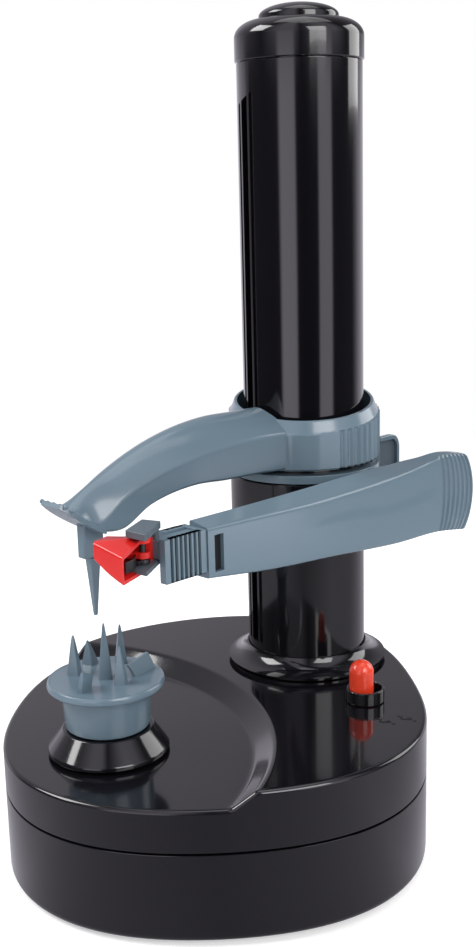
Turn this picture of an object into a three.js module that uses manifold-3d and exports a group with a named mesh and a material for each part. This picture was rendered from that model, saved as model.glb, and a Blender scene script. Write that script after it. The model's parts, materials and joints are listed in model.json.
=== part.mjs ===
// Electric potato peeler: a battery base with a gear train, a slotted tower with a lead screw,
// an upper arm that pins the potato, and a peeling arm that carries the swivelling blade.
// Millimetres, +Z up. The tower stands on the model's own axis until the whole part is centred
// at the end; the turntable lies in front of the tower, along -Y.

import * as THREE from "three";
import { mergeVertices } from "three/addons/utils/BufferGeometryUtils.js";
import Module from "manifold-3d";

const wasm = await Module();
wasm.setup();

// Fits shared by all the pieces
const clearance = 0.3;
const overrun = 4;
const round_sides = 28;
const small_sides = 10;
const wire_sides = 4;
const coil_steps = 6;
const full_turn = 2 * Math.PI;

// Base housing
const base_radius = 78.8;
const base_lobe_shares = [[0.019, 0.03], [-0.02, -0.047], [0.023, 0.008], [0.022, 0.011]];
const base_sides = 42;
const bowl_sides = 72;
const edge_steps = 2;
const tower_setback_share = 0.6522843;
const turntable_setback_share = 0.5939086;
const ground_gap = 1.2;
const seam_height = 31.4;
const seam_gap = 0.6;
const deck_height = 51.2;
const deck_edge_round = 1.4;
const bottom_round = 2.6;
const shell_wall = 2.4;
const floor_thickness = 2.2;
const recess_depth = 5.5;
const recess_floor = 2.5;
const recess_radius = 91.7;
const recess_slope_run = 7;
const recess_left = 24.8;
const recess_front = 134.7;

// Posts, screws and feet share their places round the base
const post_degrees = [55, 131, -128, -45];
const post_inset = 12;
const post_radius = 4.5;
const screw_radius = 1.5;
const screw_head_radius = 3;
const screw_head_height = 2;
const screw_bite = 5;
const foot_radius = 6;
const foot_height = 2;

// Battery bay and cells
const cell_radius = 7.25;
const cell_length = 50.5;
const cell_nub_radius = 2.7;
const cell_nub_height = 1.3;
const cell_edge = 0.8;
const cell_count = 4;
const contact_thickness = 0.5;
const contact_height = 11;
const bay_wall = 1.8;
const bay_left = 22;
const bay_to_front = 68.2;
const door_thickness = 2;
const door_finger_length = 16;
const door_finger_width = 3;
const door_finger_depth = 0.9;

// Gear train
const module_share = 0.01527495;
const turntable_teeth = 32;
const idler_teeth = 44;
const screw_teeth = 16;
const pinion_teeth = 12;
const pressure_degrees = 20;
const tip_share = 0.8;
const root_share = 1.15;
const backlash_share = 0.1;
const gear_thickness = 6;
const gear_web_thickness = 3;
const gear_rim = 4;
const gear_hub_wall = 3;
const pinion_degrees = 4;
const plate_thickness = 2;
const plate_inset = 4;
const gear_gap = 1;
const shaft_radius = 3;
const idler_pin_radius = 2.5;
const motor_radius = 12.2;
const motor_length = 27;
const motor_flat = 9.6;
const motor_boss_radius = 4;
const motor_boss_height = 1.4;
const motor_shaft_radius = 1.2;
const motor_shaft_seat = 8;

// Turntable and food holder
const hub_gap = 0.9;
const hub_foot_radius = 20.3;
const hub_foot_height = 1.2;
const hub_top_radius = 11.6;
const hub_height = 12.4;
const hub_stub_radius = 6;
const hub_stub_height = 5;
const bush_wall = 2.7;
const bush_height = 3;
const holder_foot_radius = 12;
const holder_body_radius = 14.8;
const holder_body_height = 8.4;
const lip_radius = 19.5;
const lip_height = 2.6;
const lip_round = 0.8;
const spike_height = 19;
const spike_radius = 2.3;
const spike_tip_radius = 0.3;
const spike_sides = 8;
const spike_places = [
  { degrees: 0, reach_share: 0, height_share: 1, girth_share: 1.15, lean_share: 0 },
  { degrees: -155, reach_share: 0.59, height_share: 0.7, girth_share: 1, lean_share: 0 },
  { degrees: 164, reach_share: 0.74, height_share: 0.42, girth_share: 1, lean_share: 0.1 },
  { degrees: 119, reach_share: 0.72, height_share: 0.7, girth_share: 0.9, lean_share: 0 },
  { degrees: 2, reach_share: 0.39, height_share: 0.72, girth_share: 0.95, lean_share: 0 },
];
const fin_thickness = 1.8;
const fin_height = 7.4;
const fin_places = [
  { degrees: 56, near_share: 0.42, far_share: 0.86, height_share: 1 },
  { degrees: -72, near_share: 0.48, far_share: 0.82, height_share: 0.85 },
];

// Tower
const tower_radius = 22.1;
const tower_wall = 2.2;
const tower_length = 219;
const slot_degrees = -108;
const slot_width = 4.2;
const slot_low = 10;
const slot_top = 12;
const slot_slant = 4;
const groove_width = 1.9;
const groove_depth = 0.9;
const groove_offset = 4.2;
const foot_flare = 6.4;
const foot_rise = 6.6;
const foot_rim = 1.3;

// Cap and button
const cap_radius = 22.66;
const cap_wall_height = 7.9;
const cap_shoulder_rise = 6;
const cap_wall = 2;
const cap_steps = 3;
const spigot_wall = 2.2;
const spigot_depth = 6;
const button_radius = 13.94;
const button_rim = 1.2;
const button_dome = 4.4;
const button_travel = 3;
const button_flange = 1.6;
const button_flange_height = 1.8;
const button_stem_radius = 2.4;
const button_stem_length = 2.2;
const button_steps = 4;
const button_coil_radius = 8;
const button_wire = 0.5;
const button_coil_turns = 4;
const top_bush_height = 3.6;
const micro_length = 8;
const micro_width = 6;
const micro_height = 3.4;

// Lead screw
const screw_mean_radius = 4.3;
const screw_thread_depth = 0.7;
const screw_pitch = 18;
const screw_rings_per_turn = 4;
const screw_sides = 8;
const screw_journal_gap = 2;

// Upper arm and its collar
const collar_radius = 28.1;
const collar_bore_radius = 24.7;
const collar_height = 21.5;
const collar_slope_drop = 5;
const collar_base = 78.8;
const flute_depth = 0.7;
const flute_count = 35;
const flute_start_degrees = -20.7;
const facet_degrees = [-57.6, -38];
const collar_bush_height = 15;
const arm_nose = 6.3;
const arm_rise = 22;
const arm_half_width = 14;
const arm_station_shares = [0.2, 0.34, 0.48, 0.62, 0.78, 0.9, 1];
const arm_crown_shares = [0.98, 0.99, 1, 0.92, 0.71, 0.47, 0.22];
const arm_ridge_shares = [0.6, 0.61, 0.55, 0.4, 0.16, -0.06, -0.27];
const arm_low_shares = [0.02, 0.05, 0.05, 0.01, -0.22, -0.32, -0.35];
const arm_width_shares = [1, 0.93, 0.86, 0.79, 0.68, 0.61, 0.57];
const arm_steps = 11;
const arch_steps = 6;
const arch_power = 1.7;
const thumb_length = 24;
const thumb_rise = 14;
const thumb_half_width = 8.6;
const thumb_thickness = 2.2;
const thumb_steps = 8;
const pin_play = 1.5;
const block_width = 7.4;
const block_height = 14;
const block_drop = 18;
const pin_gap = 4.4;
const top_spike_radius = 2.5;
const top_spike_tip_radius = 0.9;

// Peeling carriage
const sleeve_radius = 27.6;
const sleeve_height = 22;
const sleeve_bore_gap = 0.4;
const carriage_gap = 1.7;
const ring_height = 3;
const lug_radius = 3;
const lug_height = 12;
const lug_drop = 6;
const pivot_side = 31.8;
const pivot_back = 8;
const pivot_pin_radius = 1.25;
const tab_side = 12;
const tab_thickness = 2.4;
const tab_near = 24;
const tab_far = 41.5;
const tab_rise = 6;
const tab_drop = 20;
const tab_corner = 4;
const tab_border = 1.6;
const tab_panel_depth = 0.6;
const nut_thickness = 3.6;
const nut_height = 14;
const nut_drop = 5;
const nut_travel = 1.5;

// Peeling arm
const peel_arm_length = 140;
const peel_arm_height = 18;
const peel_arm_thickness = 8.4;
const peel_arm_inside = 3.2;
const peel_arm_drop = 10.2;
const peel_arm_wall = 1.6;
const arm_top_shares = [[-0.66, 0.5], [-0.27, 0.53], [-0.02, 0.57], [0.06, 0.56], [0.13, 0.62], [0.18, 0.65],
  [0.3, 0.51]];
const arm_end_shares = [[0.33, 0.18], [0.34, -0.28], [0.33, -0.8], [0.307, -1.15]];
const arm_foot_shares = [[0.193, -1.03], [0.014, -0.98], [-0.236, -0.81], [-0.457, -0.67], [-0.66, -0.47]];
const arm_curve_steps = 4;
const grip_thickness = 4.4;
const grip_start = 20;
const rib_count = 6;
const rib_pitch = 3.1;
const rib_width = 1.1;
const rib_depth = 0.7;
const socket_height = 14;
const socket_depth = 24;
const socket_width = 5.2;
const window_length = 3.6;
const window_height = 10.4;
const window_inset = 6.2;
const lug_pocket_length = 24;
const spring_pocket_height = 6;
const spring_coil_radius = 2.6;
const spring_wire = 0.4;
const spring_turns = 3;
const light_pocket_length = 46;
const light_pocket_height = 13;

// Blade cartridge, guard and blade
const cartridge_rise = 0.4;
const squeeze_length = 17;
const squeeze_height = 14;
const squeeze_thickness = 1.8;
const squeeze_spread = 10;
const squeeze_bridge = 2;
const squeeze_grooves = 8;
const squeeze_groove_width = 0.9;
const squeeze_groove_depth = 0.7;
const neck_inset = 1.3;
const stem_height = 6;
const stem_width = 4.2;
const stem_rise = 3.2;
const yoke_thickness = 2.2;
const yoke_spread = 17.1;
const yoke_low = 5.8;
const yoke_post = 3;
const yoke_length = 15.5;
const yoke_corner_shares = [[-0.1, -0.74], [0.43, -0.67], [-0.1, 0.19], [-0.47, 0.03]];
const blade_pin_reach = 6;
const blade_pin_radius = 1;
const guard_degrees = 31.7;
const guard_wall = 1.1;
const guard_set_back = 1.24;
const guard_mouth_length = 19;
const guard_mouth_height = 8.8;
const guard_mouth_lead = 4.65;
const guard_nose_length = 12.75;
const guard_nose_height = 5;
const guard_nose_lead = 3.65;
const guard_nose_rise = 5.5;
const guard_depth = 9.3;
const guard_low = 3;
const guard_ear_radius = 2.6;
const guard_ear_height = 1.6;
const blade_thickness = 0.8;
const blade_height = 4;
const blade_length = 10;
const blade_bow = 1;
const blade_set_back = 1.4;
const blade_root_share = 0.6;
const blade_sleeve_wall = 0.9;
const blade_steps = 6;

// Switch
const switch_side = 45.4;
const switch_front = 19.4;
const switch_degrees = 42.5;
const switch_travel = 2.4;
const lever_radius = 4.3;
const lever_height = 15;
const lever_stem_radius = 2;
const lever_steps = 4;
const switch_collar_wall = 1;
const switch_collar_height = 4.6;
const slide_switch_length = 12;
const slide_switch_width = 7;
const slide_switch_height = 7;

// Places and heights that follow from the sizes above
const tower_to_base_centre = base_radius * tower_setback_share;
const turntable_distance = tower_to_base_centre + base_radius * turntable_setback_share;
const gear_module = turntable_distance * module_share;
const bay_front = tower_to_base_centre + base_radius - bay_to_front;
const pin_reach = turntable_distance + pin_play;
const arm_reach = pin_reach + arm_nose;
const recess_height = deck_height - recess_depth;
const ceiling = recess_height - recess_floor;
const gear_low = ceiling - gear_gap - gear_thickness;
const plate_low = gear_low - gear_gap - plate_thickness;
const tower_top = deck_height + tower_length;
const collar_low = deck_height + collar_base;
const carriage_top = collar_low - carriage_gap;
const sleeve_top = carriage_top - ring_height - clearance;
const pivot_height = carriage_top - peel_arm_drop;
const outer_face = peel_arm_thickness - peel_arm_inside;
const arm_front = -arm_top_shares[0][0] * peel_arm_length;
const bay_width = cell_count * 2 * cell_radius + (cell_count + 1) * clearance;
const bay_length = cell_length + 2 * (contact_thickness + 2 * clearance);
const cell_height = ground_gap + door_thickness + clearance + cell_radius;
const bay_height = cell_height + cell_radius + clearance;
const switch_hole_radius = lever_radius + switch_travel / 2 + clearance;

const finishes = {
  gloss_black: { color: 0x14131a, roughness: 0.12, metalness: 0 },
  inner_black: { color: 0x202024, roughness: 0.5, metalness: 0 },
  blue_grey: { color: 0x6f8491, roughness: 0.4, metalness: 0 },
  dark_grey: { color: 0x4d5559, roughness: 0.45, metalness: 0 },
  guard_red: { color: 0xd4201c, roughness: 0.3, metalness: 0 },
  lever_red: { color: 0xe23c24, roughness: 0.3, metalness: 0 },
  white_nylon: { color: 0xe4e2d8, roughness: 0.5, metalness: 0 },
  steel: { color: 0xb9bcc0, roughness: 0.25, metalness: 1 },
  rubber: { color: 0x1a1a1a, roughness: 0.85, metalness: 0 },
  cell_wrap: { color: 0x3a6b4a, roughness: 0.4, metalness: 0 },
};

// Solids

function radians(degrees) {
  return (degrees / 360) * full_turn;
}

function isFlat(a, b, c) {
  return a === b || b === c || c === a;
}

function signedVolume(points, corners) {
  let sum = 0;
  const [a, b, c] = [new THREE.Vector3(), new THREE.Vector3(), new THREE.Vector3()];
  for (let i = 0; i < corners.length; i += 3) {
    a.fromArray(points, corners[i] * 3);
    b.fromArray(points, corners[i + 1] * 3);
    c.fromArray(points, corners[i + 2] * 3);
    sum += a.dot(b.cross(c));
  }
  return sum / 6;
}

// A closed geometry as a solid, with its doubled points merged and its faces turned outwards.
function solid(geometry, place = new THREE.Matrix4()) {
  const plain = new THREE.BufferGeometry();
  plain.setAttribute("position", geometry.getAttribute("position").clone());
  if (geometry.index) plain.setIndex(geometry.index.clone());
  plain.applyMatrix4(place);
  const merged = mergeVertices(plain, 1e-4);
  const points = merged.getAttribute("position").array;
  const corners = [];
  const index = merged.index.array;
  for (let i = 0; i < index.length; i += 3) {
    const [a, b, c] = [index[i], index[i + 1], index[i + 2]];
    if (!isFlat(a, b, c)) corners.push(a, b, c);
  }
  if (signedVolume(points, corners) < 0) corners.reverse();
  return new wasm.Manifold(new wasm.Mesh({
    numProp: 3,
    vertProperties: new Float32Array(points),
    triVerts: new Uint32Array(corners),
  }));
}

function joined(first, ...rest) {
  return rest.reduce((whole, next) => whole.add(next), first);
}

function cut(first, ...rest) {
  return rest.reduce((whole, next) => whole.subtract(next), first);
}

function shift(x, y, z) {
  return new THREE.Matrix4().makeTranslation(x, y, z);
}

function turnZ(angle) {
  return new THREE.Matrix4().makeRotationZ(angle);
}

// A profile of [radius, height] pairs turned round Z; it starts and ends on the axis or is closed.
function turned(profile, place, sides = round_sides) {
  const points = profile.map(([radius, height]) => new THREE.Vector2(radius, height));
  const lathe = new THREE.LatheGeometry(points, sides);
  lathe.rotateX(full_turn / 4);
  return solid(lathe, place);
}

function rod(radius, low, high, place, sides = small_sides) {
  return turned([[0, low], [radius, low], [radius, high], [0, high]], place, sides);
}

function ring(inner, outer, low, high, place, sides = round_sides) {
  return turned([[inner, low], [outer, low], [outer, high], [inner, high], [inner, low]], place, sides);
}

function block([x0, x1], [y0, y1], [z0, z1], place) {
  const box = new THREE.BoxGeometry(x1 - x0, y1 - y0, z1 - z0);
  box.translate((x0 + x1) / 2, (y0 + y1) / 2, (z0 + z1) / 2);
  return solid(box, place);
}

// An outline in X and Y raised from one height to another.
function prism(outline, low, high, place) {
  const shape = new THREE.Shape(outline.map(([x, y]) => new THREE.Vector2(x, y)));
  const body = new THREE.ExtrudeGeometry(shape, { depth: high - low, bevelEnabled: false });
  body.translate(0, 0, low);
  return solid(body, place);
}

// An outline in Y and Z carried along X from near to far.
function sidePrism(outline, near, far, place = new THREE.Matrix4()) {
  const [x, y, z] = [new THREE.Vector3(1, 0, 0), new THREE.Vector3(0, 1, 0), new THREE.Vector3(0, 0, 1)];
  const upright = new THREE.Matrix4().makeBasis(y, z, x);
  return prism(outline, near, far, place.clone().multiply(upright));
}

// A closed skin over rings with the same number of points, with a fan over each end.
function loft(rings, place) {
  const count = rings[0].length;
  const positions = [];
  const index = [];
  rings.forEach((points) => points.forEach((point) => positions.push(point.x, point.y, point.z)));
  for (let r = 0; r + 1 < rings.length; r++) {
    for (let i = 0; i < count; i++) {
      const [a, b] = [r * count + i, r * count + ((i + 1) % count)];
      index.push(a, b, b + count, a, b + count, a + count);
    }
  }
  const ends = [[rings[0], 0, true], [rings[rings.length - 1], (rings.length - 1) * count, false]];
  for (const [points, start, flip] of ends) {
    const middle = points.reduce((sum, point) => sum.add(point), new THREE.Vector3());
    middle.divideScalar(count);
    const centre = positions.length / 3;
    positions.push(middle.x, middle.y, middle.z);
    for (let i = 0; i < count; i++) {
      const [a, b] = [start + i, start + ((i + 1) % count)];
      index.push(...(flip ? [b, a, centre] : [a, b, centre]));
    }
  }
  const geometry = new THREE.BufferGeometry();
  geometry.setAttribute("position", new THREE.Float32BufferAttribute(positions, 3));
  geometry.setIndex(index);
  return solid(geometry, place);
}

// A round wire wound up the Z axis.
function coil(radius, wire, turns, low, high, place) {
  const path = [];
  const steps = turns * coil_steps;
  for (let i = 0; i <= steps; i++) {
    const angle = (i / coil_steps) * full_turn;
    const height = low + wire + (high - low - 2 * wire) * (i / steps);
    path.push(new THREE.Vector3(radius * Math.cos(angle), radius * Math.sin(angle), height));
  }
  const section = new THREE.Shape();
  for (let i = 0; i < wire_sides; i++) {
    const angle = (i / wire_sides) * full_turn;
    const [x, y] = [wire * Math.cos(angle), wire * Math.sin(angle)];
    if (i === 0) section.moveTo(x, y);
    else section.lineTo(x, y);
  }
  const curve = new THREE.CatmullRomCurve3(path);
  return solid(new THREE.ExtrudeGeometry(section, { steps, extrudePath: curve }), place);
}

// A named mesh in its group, made from a solid.
function piece(group, name, shape, finish) {
  const { vertProperties, triVerts } = shape.getMesh();
  const geometry = new THREE.BufferGeometry();
  geometry.setAttribute("position", new THREE.Float32BufferAttribute(vertProperties, 3));
  geometry.setIndex(Array.from(triVerts));
  geometry.computeVertexNormals();
  const mesh = new THREE.Mesh(geometry, new THREE.MeshStandardMaterial(finishes[finish]));
  mesh.name = name;
  group.add(mesh);
}

function groupAt(x, y, z = 0, angle = 0) {
  const group = new THREE.Group();
  group.position.set(x, y, z);
  group.rotation.z = angle;
  return group;
}

// Base housing, drawn round the base's own centre

// The outline is a circle with a few slow lobes: radius times one plus a short sum of waves.
function baseRadius(angle) {
  let share = 1;
  base_lobe_shares.forEach(([along, across], k) => {
    share += along * Math.cos((k + 1) * angle) + across * Math.sin((k + 1) * angle);
  });
  return base_radius * share;
}

function baseRing(inset, height) {
  const points = [];
  for (let i = 0; i < base_sides; i++) {
    const angle = (i / base_sides) * full_turn;
    const radius = baseRadius(angle) - inset;
    points.push(new THREE.Vector3(radius * Math.cos(angle), radius * Math.sin(angle), height));
  }
  return points;
}

function postPlace(degrees) {
  const angle = radians(degrees);
  const radius = baseRadius(angle) - post_inset;
  return shift(radius * Math.cos(angle), radius * Math.sin(angle), 0);
}

function bayBox(grow, low, high) {
  const [x, y] = [-bay_left, tower_to_base_centre - bay_front];
  const [width, length] = [bay_width / 2 + grow, bay_length / 2 + grow];
  return block([x - width, x + width], [y - length, y + length], [low, high]);
}

function roundedBottomRings() {
  const rings = [];
  for (let i = 0; i <= edge_steps; i++) {
    const angle = (i / edge_steps) * (full_turn / 4);
    const inset = bottom_round * (1 - Math.sin(angle));
    rings.push(baseRing(inset, ground_gap + bottom_round * (1 - Math.cos(angle))));
  }
  return rings;
}

function lowerShell() {
  const top = seam_height - seam_gap / 2;
  const floor = ground_gap + floor_thickness;
  const outside = loft([...roundedBottomRings(), baseRing(0, top)]);
  const inside = loft([
    baseRing(shell_wall + bottom_round / 2, floor),
    baseRing(shell_wall, floor + bottom_round),
    baseRing(shell_wall, top + overrun),
  ]);
  let shell = outside.subtract(inside);
  shell = shell.add(bayBox(bay_wall, ground_gap, bay_height + bay_wall));
  shell = shell.subtract(bayBox(0, ground_gap - overrun, bay_height));
  for (const degrees of post_degrees) {
    const place = postPlace(degrees);
    const head_top = ground_gap + foot_height + screw_head_height + clearance;
    shell = joined(shell, rod(post_radius, ground_gap, plate_low - clearance, place));
    shell = cut(shell,
      rod(screw_radius + clearance, 0, plate_low + overrun, place),
      rod(screw_head_radius + clearance, 0, head_top, place),
      rod(foot_radius + clearance, 0, foot_height + clearance, place));
  }
  return shell;
}

function recessCutter() {
  const reach = overrun / recess_depth + 1;
  const height = recess_depth * reach;
  const top = recess_radius + recess_slope_run * reach;
  const bowl = new THREE.CylinderGeometry(top, recess_radius, height, bowl_sides);
  bowl.rotateX(full_turn / 4);
  const y = tower_to_base_centre - recess_front;
  return solid(bowl, shift(-recess_left, y, recess_height + height / 2));
}

function upperShell() {
  const low = seam_height + seam_gap / 2;
  const rings = [baseRing(0, low), baseRing(0, deck_height - deck_edge_round)];
  for (let i = 1; i <= edge_steps; i++) {
    const angle = (i / edge_steps) * (full_turn / 4);
    const inset = deck_edge_round * (1 - Math.cos(angle));
    rings.push(baseRing(inset, deck_height - deck_edge_round * (1 - Math.sin(angle))));
  }
  const inside = loft([baseRing(shell_wall, low - overrun), baseRing(shell_wall, ceiling)]);
  let shell = cut(loft(rings), inside, recessCutter());
  for (const degrees of post_degrees) {
    const place = postPlace(degrees);
    const boss = rod(post_radius, gear_low - gear_gap + clearance, ceiling + clearance, place);
    const pilot_top = gear_low + screw_bite + clearance;
    shell = cut(shell.add(boss), rod(screw_radius + clearance, gear_low - overrun, pilot_top, place));
  }
  const tower = shift(0, tower_to_base_centre, 0);
  const table = shift(0, tower_to_base_centre - turntable_distance, 0);
  const toggle = shift(switch_side, tower_to_base_centre - switch_front, 0);
  const lever_hole = lever_stem_radius + switch_travel / 2 + clearance;
  const [low_cut, high_cut] = [ceiling - overrun, deck_height + overrun];
  return cut(shell,
    rod(tower_radius + clearance, low_cut, high_cut, tower, round_sides),
    rod(shaft_radius + bush_wall + 2 * clearance, low_cut, high_cut, table, round_sides),
    rod(lever_hole, low_cut, high_cut, toggle));
}

function foot(place) {
  return turned([[0, 0], [foot_radius - cell_edge, 0], [foot_radius, cell_edge], [foot_radius, foot_height],
    [0, foot_height]], place, small_sides);
}

function baseScrew(place) {
  const low = foot_height + clearance;
  const neck = low + screw_head_height;
  return turned([[0, low], [screw_head_radius, low], [screw_head_radius, neck], [screw_radius, neck],
    [screw_radius, gear_low + screw_bite], [0, gear_low + screw_bite]], place, small_sides);
}

function buildBase() {
  const base = groupAt(0, -tower_to_base_centre);
  piece(base, "base_lower_shell", lowerShell(), "gloss_black");
  piece(base, "base_upper_shell", upperShell(), "gloss_black");
  post_degrees.forEach((degrees, i) => {
    piece(base, `foot_${i + 1}`, foot(postPlace(degrees)), "rubber");
    piece(base, `base_screw_${i + 1}`, baseScrew(postPlace(degrees)), "steel");
  });
  piece(base, "gear_plate", gearPlate(), "white_nylon");
  return base;
}

// Batteries, drawn round the middle of the bay

function batteryDoor() {
  const [width, length] = [bay_width / 2 - clearance, bay_length / 2 - clearance];
  const top = ground_gap + door_thickness;
  const plate = block([-width, width], [-length, length], [ground_gap, top]);
  const finger_middle = -length + 2 * door_finger_width;
  const finger = block([-door_finger_length / 2, door_finger_length / 2],
    [finger_middle - door_finger_width / 2, finger_middle + door_finger_width / 2],
    [ground_gap - overrun, ground_gap + door_finger_depth]);
  return plate.subtract(finger);
}

function cell() {
  const body = cell_length - cell_nub_height;
  const start = -cell_length / 2;
  return turned([[0, start], [cell_radius - cell_edge, start], [cell_radius, start + cell_edge],
    [cell_radius, start + body - cell_edge], [cell_radius - cell_edge, start + body],
    [cell_nub_radius, start + body], [cell_nub_radius, start + cell_length], [0, start + cell_length]],
  undefined, small_sides);
}

function contactPlate(side) {
  const near = side * (cell_length / 2 + clearance);
  const far = near + side * contact_thickness;
  const [width, height] = [bay_width / 2 - clearance, contact_height / 2];
  const y = [Math.min(near, far), Math.max(near, far)];
  return block([-width, width], y, [cell_height - height, cell_height + height]);
}

function buildBatteries() {
  const bay = groupAt(-bay_left, -bay_front);
  piece(bay, "battery_door", batteryDoor(), "gloss_black");
  for (let i = 0; i < cell_count; i++) {
    const place = groupAt((i - (cell_count - 1) / 2) * (2 * cell_radius + clearance), 0, cell_height);
    place.rotation.x = (i % 2 ? 1 : -1) * (full_turn / 4);
    piece(place, `battery_cell_${i + 1}`, cell(), "cell_wrap");
    bay.add(place);
  }
  piece(bay, "contact_plate_front", contactPlate(-1), "steel");
  piece(bay, "contact_plate_rear", contactPlate(1), "steel");
  return bay;
}

// Gear train. Centres follow from the tooth counts; the idler meshes with the turntable gear,
// the screw gear and the motor pinion, so its centre is the third corner of a triangle.

function pitchRadius(teeth) {
  return (teeth * gear_module) / 2;
}

function idlerCentre() {
  const to_screw = pitchRadius(idler_teeth) + pitchRadius(screw_teeth);
  const to_table = pitchRadius(idler_teeth) + pitchRadius(turntable_teeth);
  const along = (to_screw ** 2 - to_table ** 2 + turntable_distance ** 2) / (2 * turntable_distance);
  return new THREE.Vector2(-Math.sqrt(to_screw ** 2 - along ** 2), -along);
}

function pinionCentre() {
  const reach = pitchRadius(idler_teeth) + pitchRadius(pinion_teeth);
  const angle = radians(pinion_degrees);
  const centre = idlerCentre();
  return new THREE.Vector2(centre.x + reach * Math.cos(angle), centre.y + reach * Math.sin(angle));
}

// The turn that puts a tooth space of the next gear where the first gear has a tooth.
function meshingTurn(first, first_turn, first_teeth, next, next_teeth) {
  const line = Math.atan2(next.y - first.y, next.x - first.x);
  const ahead = ((line - first_turn) * first_teeth) / next_teeth;
  return line + full_turn / 2 + ahead + full_turn / (2 * next_teeth);
}

function involute(angle) {
  return Math.tan(angle) - angle;
}

// Half of a tooth's angle at a radius, from the involute of its base circle.
function halfTooth(teeth, radius) {
  const pressure = radians(pressure_degrees);
  const base = pitchRadius(teeth) * Math.cos(pressure);
  const at_pitch = (full_turn / (4 * teeth)) * (1 - backlash_share) + involute(pressure);
  return at_pitch - involute(Math.acos(Math.min(1, base / radius)));
}

function gearOutline(teeth) {
  const pitch = pitchRadius(teeth);
  const radii = [pitch - root_share * gear_module, pitch + tip_share * gear_module];
  const outline = [];
  for (let t = 0; t < teeth; t++) {
    const middle = (t / teeth) * full_turn;
    const rising = radii.map((radius) => [radius, middle - halfTooth(teeth, radius)]);
    const falling = [...radii].reverse().map((radius) => [radius, middle + halfTooth(teeth, radius)]);
    for (const [radius, angle] of [...rising, ...falling]) {
      outline.push([radius * Math.cos(angle), radius * Math.sin(angle)]);
    }
  }
  return outline;
}

// A toothed rim with a thinner web and a full-height hub round its bore.
function gear(teeth, bore) {
  const rim = pitchRadius(teeth) - root_share * gear_module - gear_rim;
  const high = gear_low + gear_thickness;
  let wheel = prism(gearOutline(teeth), gear_low, high);
  const hub = bore + gear_hub_wall;
  if (rim > hub + gear_rim) {
    wheel = wheel.subtract(ring(hub, rim, gear_low + gear_web_thickness, high + overrun));
  }
  return wheel.subtract(rod(bore + clearance, gear_low - overrun, high + overrun));
}

function gearPlate() {
  const high = plate_low + plate_thickness;
  let plate = loft([baseRing(plate_inset, plate_low), baseRing(plate_inset, high)]);
  for (const degrees of post_degrees) {
    plate = plate.subtract(rod(screw_radius + clearance, 0, high + overrun, postPlace(degrees)));
  }
  const [idler, pinion] = [idlerCentre(), pinionCentre()];
  const holes = [
    [0, 0, shaft_radius],
    [0, -turntable_distance, shaft_radius],
    [idler.x, idler.y, idler_pin_radius],
    [pinion.x, pinion.y, motor_boss_radius],
  ];
  for (const [x, y, radius] of holes) {
    plate = plate.subtract(rod(radius + clearance, 0, high + overrun, shift(x, y + tower_to_base_centre, 0)));
  }
  const shaft = lever_stem_radius + slide_switch_length;
  const corner = shift(switch_side, tower_to_base_centre - switch_front, 0);
  return plate.subtract(rod(shaft, 0, high + overrun, corner));
}

function motorBody() {
  const high = plate_low - clearance;
  const can = rod(motor_radius, high - motor_length, high, undefined, round_sides);
  const flats = block([-motor_flat, motor_flat], [-motor_radius - overrun, motor_radius + overrun],
    [high - motor_length - overrun, high + overrun]);
  const boss = rod(motor_boss_radius, high - clearance, high + motor_boss_height);
  const bore = rod(motor_shaft_radius + clearance, high - motor_shaft_seat, high + overrun);
  return joined(can.intersect(flats), boss).subtract(bore);
}

function buildDrive() {
  const drive = new THREE.Group();
  const [idler, pinion] = [idlerCentre(), pinionCentre()];
  const table = new THREE.Vector2(0, -turntable_distance);
  const idler_turn = meshingTurn(table, 0, turntable_teeth, idler, idler_teeth);
  const screw_turn = meshingTurn(idler, idler_turn, idler_teeth, new THREE.Vector2(), screw_teeth);
  const pinion_turn = meshingTurn(idler, idler_turn, idler_teeth, pinion, pinion_teeth);

  const idler_group = groupAt(idler.x, idler.y, 0, idler_turn);
  piece(idler_group, "idler_gear", gear(idler_teeth, idler_pin_radius), "white_nylon");
  const pin_group = groupAt(idler.x, idler.y);
  piece(pin_group, "idler_pin", rod(idler_pin_radius, plate_low - 1, ceiling - clearance), "steel");

  const pinion_group = groupAt(pinion.x, pinion.y, 0, pinion_turn);
  piece(pinion_group, "motor_pinion", gear(pinion_teeth, motor_shaft_radius), "white_nylon");
  const shaft_low = plate_low - motor_shaft_seat;
  piece(pinion_group, "motor_shaft", rod(motor_shaft_radius, shaft_low, gear_low + gear_thickness), "steel");
  const motor_group = groupAt(pinion.x, pinion.y);
  piece(motor_group, "drive_motor", motorBody(), "steel");

  const screw_group = groupAt(0, 0, 0, screw_turn);
  piece(screw_group, "screw_gear", gear(screw_teeth, shaft_radius), "white_nylon");
  drive.add(idler_group, pin_group, pinion_group, motor_group, screw_group);
  return drive;
}

// Turntable, drawn round its own axis

function turntableShaft() {
  return rod(shaft_radius, plate_low, hubTop() + hub_stub_height - clearance);
}

function hubTop() {
  return recess_height + hub_gap + hub_height;
}

function turntableHub() {
  const low = recess_height + hub_gap;
  const shape = turned([[0, low], [hub_foot_radius, low], [hub_foot_radius, low + hub_foot_height],
    [hub_top_radius, hubTop()], [hub_stub_radius, hubTop()], [hub_stub_radius, hubTop() + hub_stub_height],
    [0, hubTop() + hub_stub_height]]);
  const bore = rod(shaft_radius + clearance, low - overrun, hubTop() + hub_stub_height + overrun);
  return shape.subtract(bore);
}

function lipTop() {
  return hubTop() + clearance + holder_body_height + lip_height;
}

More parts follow.
